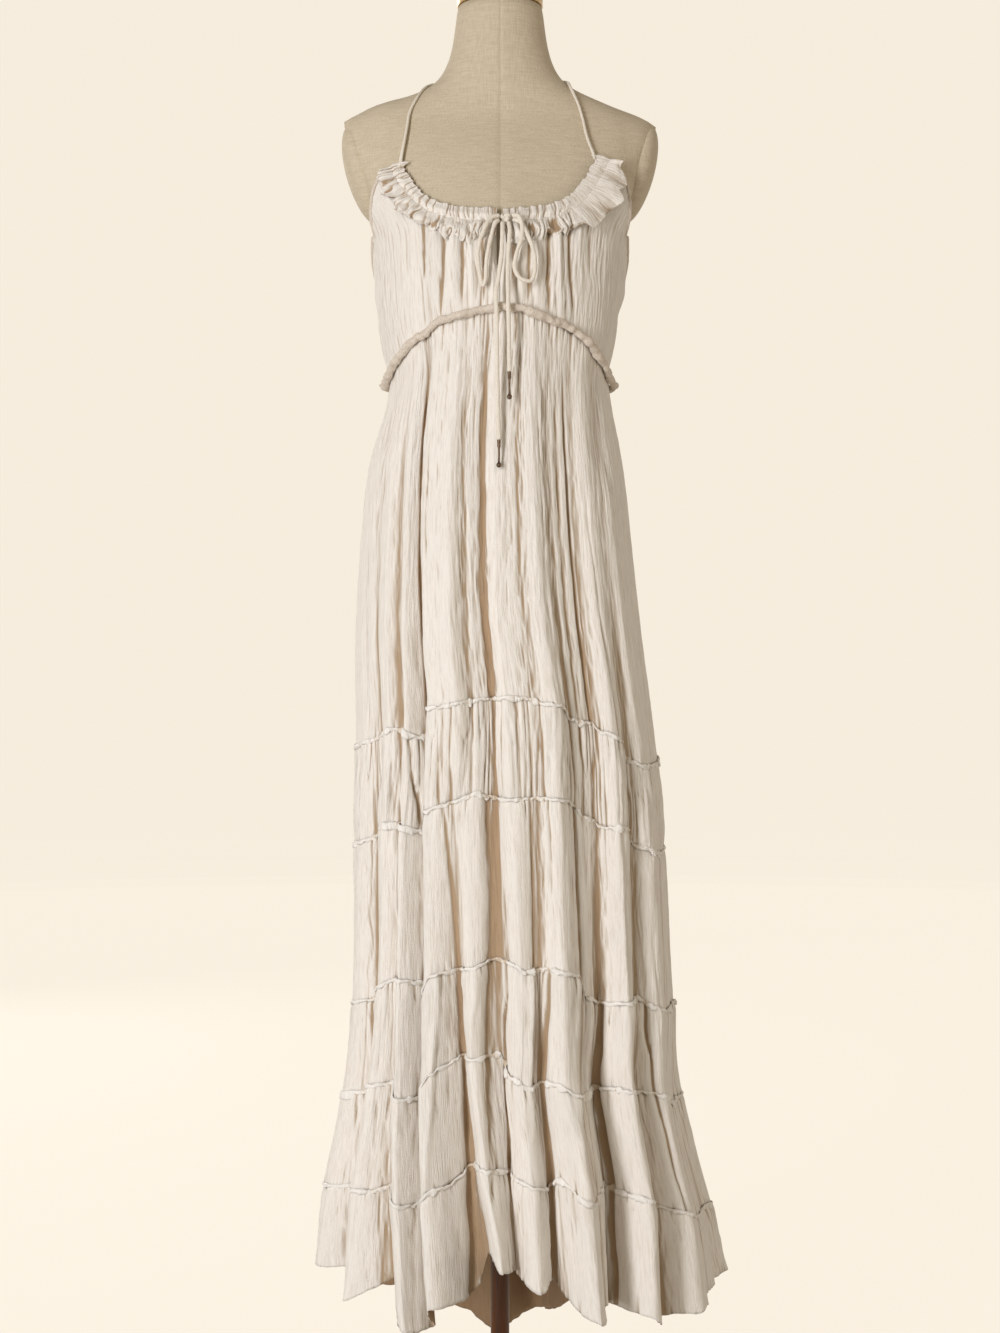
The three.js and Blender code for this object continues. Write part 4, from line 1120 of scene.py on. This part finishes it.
def make_skirt(gauze):
    """The upper skirt, the band and the tiers, each hung from the one above."""
    for k, (name, start, end, halves) in enumerate(SKIRT_PIECES):
        for half, (rows, columns, cut) in halves.items():
            steps = np.linspace(start, end, rows + 1)
            turn, lift = fold_rows(half, steps, columns + 1)
            step = steps[:, None] * np.ones_like(turn)
            grid = skirt_point(turn, step, lift)
            grid[..., 2] += seam_rise(step, turn)
            across, down = surface_lengths(grid)
            seed = 100 + 20 * k + (10 if half == "back" else 0)
            relief = surface_relief(name, turn, across, down, seed) + crease_depth(half, step, turn, across)
            grid = raised(grid, relief, across, 6)
            grid[..., 2] += hem_waver(name, across, down)
            # The skirt's inner face is painted the full inside shade colour.
            piece = cloth_mesh(f"{name}_{half}_cloth", grid, gauze)
            stands_for(piece, "gauze", f"{name}_{half}")


# Name, and the seam's step.
EDGINGS = [("edging_band_top", 3), ("edging_band_foot", 4), ("edging_tier_four", 5),
           ("edging_tier_five", 6), ("edging_tier_six", 7)]
EDGING_ROWS = 6
EDGING_COLUMNS = {"front": 570, "back": 340}


def make_edgings(gauze):
    """Narrow raw edges that ruffle out of the tier seams, by seam and half."""
    trims = {}
    for k, (name, step) in enumerate(EDGINGS):
        for half, columns in EDGING_COLUMNS.items():
            turn, lift = fold_rows(half, np.array([float(step)]), columns + 1)
            level = np.full_like(turn, float(step))
            seam = skirt_point(turn, level, lift)
            seam[..., 2] += seam_rise(level, turn)
            seam, turn = np.repeat(seam, EDGING_ROWS, axis=0), np.repeat(turn, EDGING_ROWS, axis=0)
            drop = np.linspace(0, 1, EDGING_ROWS)[:, None]
            seam[..., 2] -= drop
            across = surface_lengths(seam)[0]
            just_above, just_below = np.full_like(across, step - 0.02), np.full_like(across, step + 0.02)
            bent = 0.5 * crease_depth(half, just_above, turn, across)
            bent = bent + 0.5 * crease_depth(half, just_below, turn, across)
            seed = 300 + 10 * k + (5 if half == "back" else 0)
            tuft = np.clip(ripples(across, 0, 9, 1, seed + 6) - 0.35, 0, 1) * 5
            rise = 1.9 + 0.8 * ripples(across, 0, 8, 1, seed) + 0.8 * tuft
            fall = 2.8 + 1.4 * ripples(across, 0, 7, 1, seed + 1) + tuft
            frilled = puffs(across, 4 * drop, 3.2, 3, seed + 2)
            frilled = frilled + 0.6 * ripples(across, 4 * drop, 1.9, 2, seed + 3)
            lean = 1.5 + 1.5 * np.sin(np.pi * drop ** 0.8)
            stand = lean + 0.9 * frilled * (0.35 + drop) + 0.7 * tuft * drop + bent
            grid = seam + outward(seam) * stand[..., None]
            wander = 0.7 * ripples(across, 0, 4, 1, seed + 4)
            grid[..., 2] = seam[0, :, 2] + mix(rise, -fall, drop) + wander
            # The ruffle's inner face gets an even painted shade, half way up the scale.
            piece = cloth_mesh(f"{name}_{half}_ruffle", grid, gauze, thickness=0.5, inner_face_shade=0.5)
            trims[step, half] = stands_for(piece, "gauze", f"{name}_{half}")
    return trims


# The bodice's side seams in front and behind, the slit's turn to each side, closed and open, and the
# heights that it opens between.
FRONT_SIDE_SEAM, BACK_SIDE_SEAMS = 89.93, (90.07, 269.93)
SLIT_CLOSED, SLIT_OPENS, SLIT_FROM, SLIT_TO = 0.08, 1.35, 1298, 1330
SEAM_LAP = 0.3


def bodice_grid(name, rows, columns):
    """Turn and height on one front half, from the slit to the side seam."""
    share = np.linspace(0, 1, rows + 1)[:, None]
    spread = np.linspace(0, 1, columns + 1)[None, :]
    near_height = mix(along(EDGE_TURN, EDGE_HEIGHT[name], spread * FRONT_SIDE_SEAM), 1260, share)
    slit = SLIT_CLOSED + SLIT_OPENS * ramp(near_height, SLIT_FROM, SLIT_TO)
    turn = mix(slit, FRONT_SIDE_SEAM, spread)
    top = along(EDGE_TURN, EDGE_HEIGHT[name], turn)
    foot = ring_height(np.zeros_like(turn), turn) + SEAM_LAP
    return turn, mix(top, foot, share)


def make_bodice_fronts(gauze):
    """The two front halves, gathered at the casing and at the empire seam."""
    for side, name in SIDES:
        turn, height = bodice_grid(name, 64, 190)
        grid = bodice_point(side * turn, height)
        if side < 0:
            grid, turn = grid[:, ::-1], turn[:, ::-1]
        across, down = surface_lengths(grid)
        seed = 500 + 40 * (side > 0)
        length = down[-1:]
        gathered = 1 - ramp(turn, 24, 46)
        sweep = across + 6 * ripples(across, down, 60, 90, seed + 7)
        folds = 0.8 * puffs(sweep, down, 7.5, 260, seed + 1) + 0.6 * puffs(sweep, down, 3.6, 90, seed + 2)
        swell = ramp(down, -4, 26) * ramp(length - down, -14, 26)
        relief = crinkle(across, down, seed) + gathered * (1.4 + folds) * (0.35 + 0.65 * swell)
        relief = relief + 0.5 * pleats(across, down, 6, 60, seed + 3) * np.exp(-(length - down) / 16)
        share = down / length
        for top_turn, foot_turn, start, end, width, deep in BODICE_CREASES[name]:
            line = mix(top_turn, foot_turn, share)
            apart = np.abs(turn - line) * 2.15 / width
            fade = ramp(share, start - 0.05, start + 0.12) * (1 - ramp(share, end - 0.3, end + 0.02))
            relief = relief - deep * np.clip(1 - apart, 0, 1) ** 1.5 * fade
        piece = cloth_mesh(f"bodice_front_{name}_cloth", raised(grid, relief, across, 4), gauze)
        stands_for(piece, "gauze", f"bodice_front_{name}")


def make_bodice_back(gauze):
    """The plain low back, from side seam to side seam."""
    turn = np.linspace(*BACK_SIDE_SEAMS, 181)[None, :]
    mirrored = np.where(turn > 180, 360 - turn, turn)
    share = np.linspace(0, 1, 29)[:, None]
    foot = ring_height(np.zeros_like(turn), turn) + SEAM_LAP
    height = mix(along(BACK_EDGE_TURN, BACK_EDGE_HEIGHT, mirrored), foot, share)
    grid = bodice_point(turn, height)
    across, down = surface_lengths(grid)
    relief = crinkle(across, down, 560) + 0.6 * pleats(across, down, 8, 120, 561)
    piece = cloth_mesh("bodice_back_cloth", raised(grid, relief, across, 4), gauze)
    stands_for(piece, "gauze", "bodice_back")


def neck_strip(side, name, spread, out, lift):
    """Points on a band square to the neckline: out is the distance from its edge, lift off the form."""
    stops = range(len(NECK_TURN[name]))
    last = stops[-1]

    def edge_at(place):
        return along(stops, NECK_TURN[name], place), along(stops, NECK_HEIGHT[name], place)

    place = spread * last
    turn, height = edge_at(place)
    turn_ahead, height_ahead = edge_at(np.clip(place + 0.02, 0, last))
    turn_back, height_back = edge_at(np.clip(place - 0.02, 0, last))
    a_degree = bodice_point(turn + 0.5, height) - bodice_point(turn - 0.5, height)
    mm_per_degree = np.linalg.norm(a_degree, axis=-1)
    run, rise = (turn_ahead - turn_back) * mm_per_degree, height_ahead - height_back
    slope = np.hypot(run, rise)
    far_turn = turn + rise / slope * out / mm_per_degree
    return bodice_point(side * far_turn, height - run / slope * out, lift)


def neck_relief(side, spread, edge_length, reach, seed):
    """Gathers across the neckline: out of the cloth, along the edge, and down it, in millimetres."""
    calm = ramp(spread, 0.44, 0.54) if side > 0 else np.zeros_like(spread)
    fan = np.clip(reach / 40, 0, None)
    tight = puffs(edge_length, reach, 3.9, 24, seed)
    small = puffs(edge_length, reach, 1.8, 15, seed + 1)
    lumps = ripples(edge_length, reach, 7.5, 8.5, seed + 2)
    broad = ripples(edge_length, reach, 11, 60, seed + 3)
    crumpled = 2.5 * tight + 0.9 * small + 3.3 * lumps * ramp(reach, 7, 20)
    smooth = 0.25 * small + 7.0 * broad * fan ** 1.5
    out = mix(crumpled, smooth, calm) * mix(0.75, 1.2, fan)
    sway = mix(3.6, 1.2, calm) * fan * ripples(edge_length, reach, 7, 14, seed + 4)
    tails = 7.0 * ripples(edge_length, 0 * reach, 5.5, 1, seed + 5) + 2.5 * tight - 2
    scallops = 6.0 * ripples(edge_length, 0 * reach, 11, 1, seed + 6)
    scallops = scallops + 11 * (1 - ramp(spread, 0.80, 0.95))
    drop = mix(tails, scallops, calm) * fan ** 2
    return out, sway, drop, calm


# Part, cut in metres, first and last distance from the edge in millimetres, and rows.
NECK_PARTS = [("casing", (0.16, 0.022), -2.4, 14.6, 18), ("frill", (0.23, 0.036), 14.0, 39.0, 27)]
NECK_COLUMNS = 320
FRILL_FROM, FRILL_WIDTH = 14, 25


def make_neckline(gauze):
    """The drawstring casing with its little heading, and the frill that fans out below it."""
    for side, name in SIDES:
        spread = np.linspace(0, 1, NECK_COLUMNS + 1)[None, :]
        seed = 600 + 40 * (side > 0)
        edge = neck_strip(side, name, spread, np.zeros((2, 1)), np.zeros((2, 1)))
        edge_length = run_lengths(edge[0])[None, :]
        for label, cut, start, end, rows in NECK_PARTS:
            reach = mix(start, end, np.linspace(0, 1, rows + 1)[:, None]) * np.ones_like(spread)
            out, sway, drop, calm = neck_relief(side, spread, edge_length, reach, seed)
            if label == "casing":
                channel = 4.2 * np.exp(-((reach - 6.5) / 4.5) ** 2)
                lift = 1.8 + channel * mix(0.7, 0.3, calm) + out * 0.7
                tuft = 8 * np.exp(-((spread - 0.965) / 0.02) ** 2)
                heading = 1.5 * ripples(edge_length, 0 * reach, 3.2, 1, seed + 8) - tuft
                reach = reach + heading * ramp(-reach, -3, 0)
            else:
                flare = (reach - FRILL_FROM) / FRILL_WIDTH
                curl = mix(4.5, -2.0, calm) * ramp(flare, 0.72, 1.0)
                lift = 2.2 + 6.4 * flare + 2.4 * np.sin(np.pi * flare)
                lift = lift + out * mix(0.7, 1.1, ramp(flare, 0, 0.3)) - curl
                shorter = 1 - mix(0.35, 0.6, side > 0) * ramp(spread, 0.86, 1.0)
                reach = FRILL_FROM + (reach - FRILL_FROM) * shorter
            lift = np.maximum(lift, 0.9)
            shaken = np.clip(spread + sway / edge_length[0, -1], 0, 1)
            grid = neck_strip(side, name, shaken, reach + drop, lift)
            if side < 0:
                grid = grid[:, ::-1]
            # The inner face gets an even painted shade.
            piece = cloth_mesh(f"neck_{label}_{name}_cloth", grid, gauze, thickness=0.5, inner_face_shade=0.6)
            stands_for(piece, "gauze", f"neck_{label}_{name}")


def make_roll(name, route, radius, seed, material, crumple, sides=14):
    """A rolled self-fabric edge, uneven along its length."""
    length = run_lengths(route)[:, None]
    angle = np.linspace(0, 2 * np.pi, sides, endpoint=False)[None, :]
    lumps = ripples(length + 0 * angle, np.cos(angle) * 8, 7, 9, seed)
    lumps = lumps + 0.5 * ripples(length, angle * 6, 3.2, 5, seed + 1)
    return tube_mesh(name, tube_grid(route, radius * (1 + crumple * lumps), sides), material)


def make_piping(material, trims):
    """The thick crumpled roll in the empire seam, front and back."""
    for half, count, pitch in (("front", 420, 1.0), ("back", 220, 1.5)):
        turn, lift = fold_rows(half, np.array([0.0]), count, gap=0.06)
        seam = skirt_point(turn, np.zeros_like(turn), lift)[0]
        place = np.arange(count) * pitch
        out = 5.4 + 1.3 * ripples(place, 0, 26, 1, 41) + 0.6 * ripples(place, 0, 9, 1, 44)
        route = seam + level_out(turn[0], out)
        route[:, 2] += 1.9 * ripples(place, 0, 17, 1, 42) + 0.7 * ripples(place, 0, 7, 1, 45)
        roll = make_roll(f"empire_roll_{half}", route, 4.4, 43, material, 0.3, 18)
        trims[0, half] = stands_for(roll, "gauze", f"empire_piping_{half}")


def make_bindings(material):
    """Narrow rolled edges round the armholes and along the low back."""
    for side, name in SIDES:
        turn = np.concatenate([np.linspace(47, 90, 60), np.linspace(91, 179.9, 80)])
        front = along(EDGE_TURN, EDGE_HEIGHT[name], turn)
        back = along(BACK_EDGE_TURN, BACK_EDGE_HEIGHT, turn)
        height = np.where(turn > 90, back, front) + 0.6
        route = bodice_point(side * turn, height, 0.2)
        roll = make_roll(f"armhole_roll_{name}", route, 2.1, 51, material, 0.14, 10)
        stands_for(roll, "gauze", f"armhole_binding_{name}")


def make_strap(material):
    """Two flat rouleaux side by side, round the back of the neck."""
    turn, height = np.array(STRAP_ROUTE).T
    middle = smooth_route(above_form(turn, height, 3.4), 261)
    for _ in range(40):
        middle[1:-1] = 0.5 * middle[1:-1] + 0.25 * (middle[:-2] + middle[2:])
    down_into = np.array([[-1.5, -3.0, -7.0]])
    middle = np.concatenate([middle[:1] + down_into, middle, middle[-1:] + down_into * [[-1, 1, 1]]])
    direction = np.gradient(middle, axis=0)
    out = middle * np.array([1, 1, 0])
    out = out / np.linalg.norm(out, axis=1, keepdims=True)
    beside = np.cross(direction, out)
    beside /= np.linalg.norm(beside, axis=1, keepdims=True)
    twist = np.sin(np.linspace(0, 5 * np.pi, len(middle)))[:, None]
    parts = []
    for k, offset in enumerate((-1.3, 1.3)):
        route = middle + beside * offset + out * 0.4 * twist * np.sign(offset)
        parts.append(make_roll(f"strap_strand_{k}", route, 1.55, 61 + k, material, 0.08, 10))
    strap = joined("halter_straps", parts)
    stands_for(strap, "ribbon", "halter_strap")


# ---------------------------------------------------------------- the drawstring
CORD_RADIUS = 2.35     # in millimetres, before its unevenness


def make_cord(name, places, node, material, count=90):
    """A free end of the drawstring, from the knot to its tip."""
    route = smooth_route(places, count)
    length = np.linspace(0, 1, count)[:, None]
    angle = np.linspace(0, 2 * np.pi, 12, endpoint=False)[None, :]
    radii = CORD_RADIUS * (1 + 0.12 * ripples(length * 180, np.cos(angle) * 4, 4, 4, 81))
    cord = tube_mesh(name, tube_grid(route, radii, 12, flatten=0.8), material)
    stands_for(cord, "ribbon", node)
    return cord


def make_tip(name, node, metal):
    """A bead on a thin shank that clasps the cord's end."""
    low, high = box_mm(node)
    x, y = (low[0] + high[0]) / 2, (low[1] + high[1]) / 2
    foot, top = low[2], high[2]
    profile = [(0.5, foot), (1.7, foot + 0.5), (2.6, foot + 1.5), (3.0, foot + 3.0), (2.6, foot + 4.4),
               (1.7, foot + 5.4), (1.25, foot + 6.2), (1.5, foot + 7.0), (1.25, foot + 7.8),
               (1.15, foot + 14), (1.3, top - 9), (1.9, top - 7.5), (2.0, top - 5), (1.75, top - 4.4),
               (2.05, top - 3.8), (2.05, top)]
    tip = turned(name, (x, y), profile, 24, metal)
    return stands_for(tip, "dark_metal", node)


def make_drawstring(material, metal):
    """Both free ends with their tips."""
    left_tip = make_tip("cord_tip_left", "drawstring_tip_left", metal)
    right_tip = make_tip("cord_tip_right", "drawstring_tip_right", metal)
    make_cord("drawcord_left", LEFT_END_ROUTE, "drawstring_end_left", material)
    make_cord("drawcord_right", RIGHT_END_ROUTE, "drawstring_end_right", material)


def make_bow(material):
    """The two loops, and the knot between them."""
    for name, places, node in (("bow_left", LEFT_LOOP_ROUTE, "bow_loop_left"),
                               ("bow_right", RIGHT_LOOP_ROUTE, "bow_loop_right")):
        route = smooth_route(places, 110)
        stands_for(make_roll(name, route, 2.4, 83, material, 0.16, 14), "ribbon", node)
    low, high = box_mm("drawstring_knot")
    t = np.linspace(0, 2 * np.pi, 120, endpoint=False)
    x, y, z = np.sin(t) + 2 * np.sin(2 * t), 0.9 * np.sin(3 * t), np.cos(t) - 2 * np.cos(2 * t)
    route = (low + high) / 2 + np.stack([1.55 * x, 1.7 * y, 1.15 * z], -1)
    closed_route = np.concatenate([route[-1:], route, route[:1]])
    rings = tube_grid(closed_route, np.full(len(closed_route), 2.2), 12)[1:-1]
    knot = tube_mesh("bow_knot", rings, material, closed=True)
    stands_for(knot, "ribbon", "drawstring_knot")


# ---------------------------------------------------------------- the whole
set_camera()
ribbon = rolled_gauze("rouleau_cotton", (0.90, 0.86, 0.79), (0.77, 0.70, 0.59), 900)
bronze = aged_metal("dark_bronze", (0.16, 0.11, 0.075), (0.05, 0.035, 0.025), 0.35)
make_drawstring(ribbon, bronze)
light_the_room()
add_floor()

gauze = crinkled_gauze("crinkled_gauze")
# The piping and bindings take the default colours, darker than the flat gauze: painted shade.
rolled = rolled_gauze("rolled_gauze")
linen = linen_cover()
wood = varnished_wood()
brass = aged_metal("aged_brass", (0.55, 0.39, 0.19), (0.34, 0.22, 0.10), 0.3)

make_form(linen, brass)
make_stand(wood, brass)
# A paler copy of the gauze for the edgings: painted light, with lighter fold and inside colours for its
# painted shade.
painted_lit_raw_edge = crinkled_gauze("painted_lit_raw_edge", light=(0.97, 0.95, 0.92), dark=(0.90, 0.86, 0.80),
                          fold=(0.72, 0.62, 0.50), inside=(0.7, 0.6, 0.48))
trims = make_edgings(painted_lit_raw_edge)
make_piping(rolled, trims)
make_skirt(gauze)
make_bodice_fronts(gauze)
make_bodice_back(gauze)
make_neckline(gauze)
make_bindings(rolled)
make_strap(ribbon)
make_bow(ribbon)
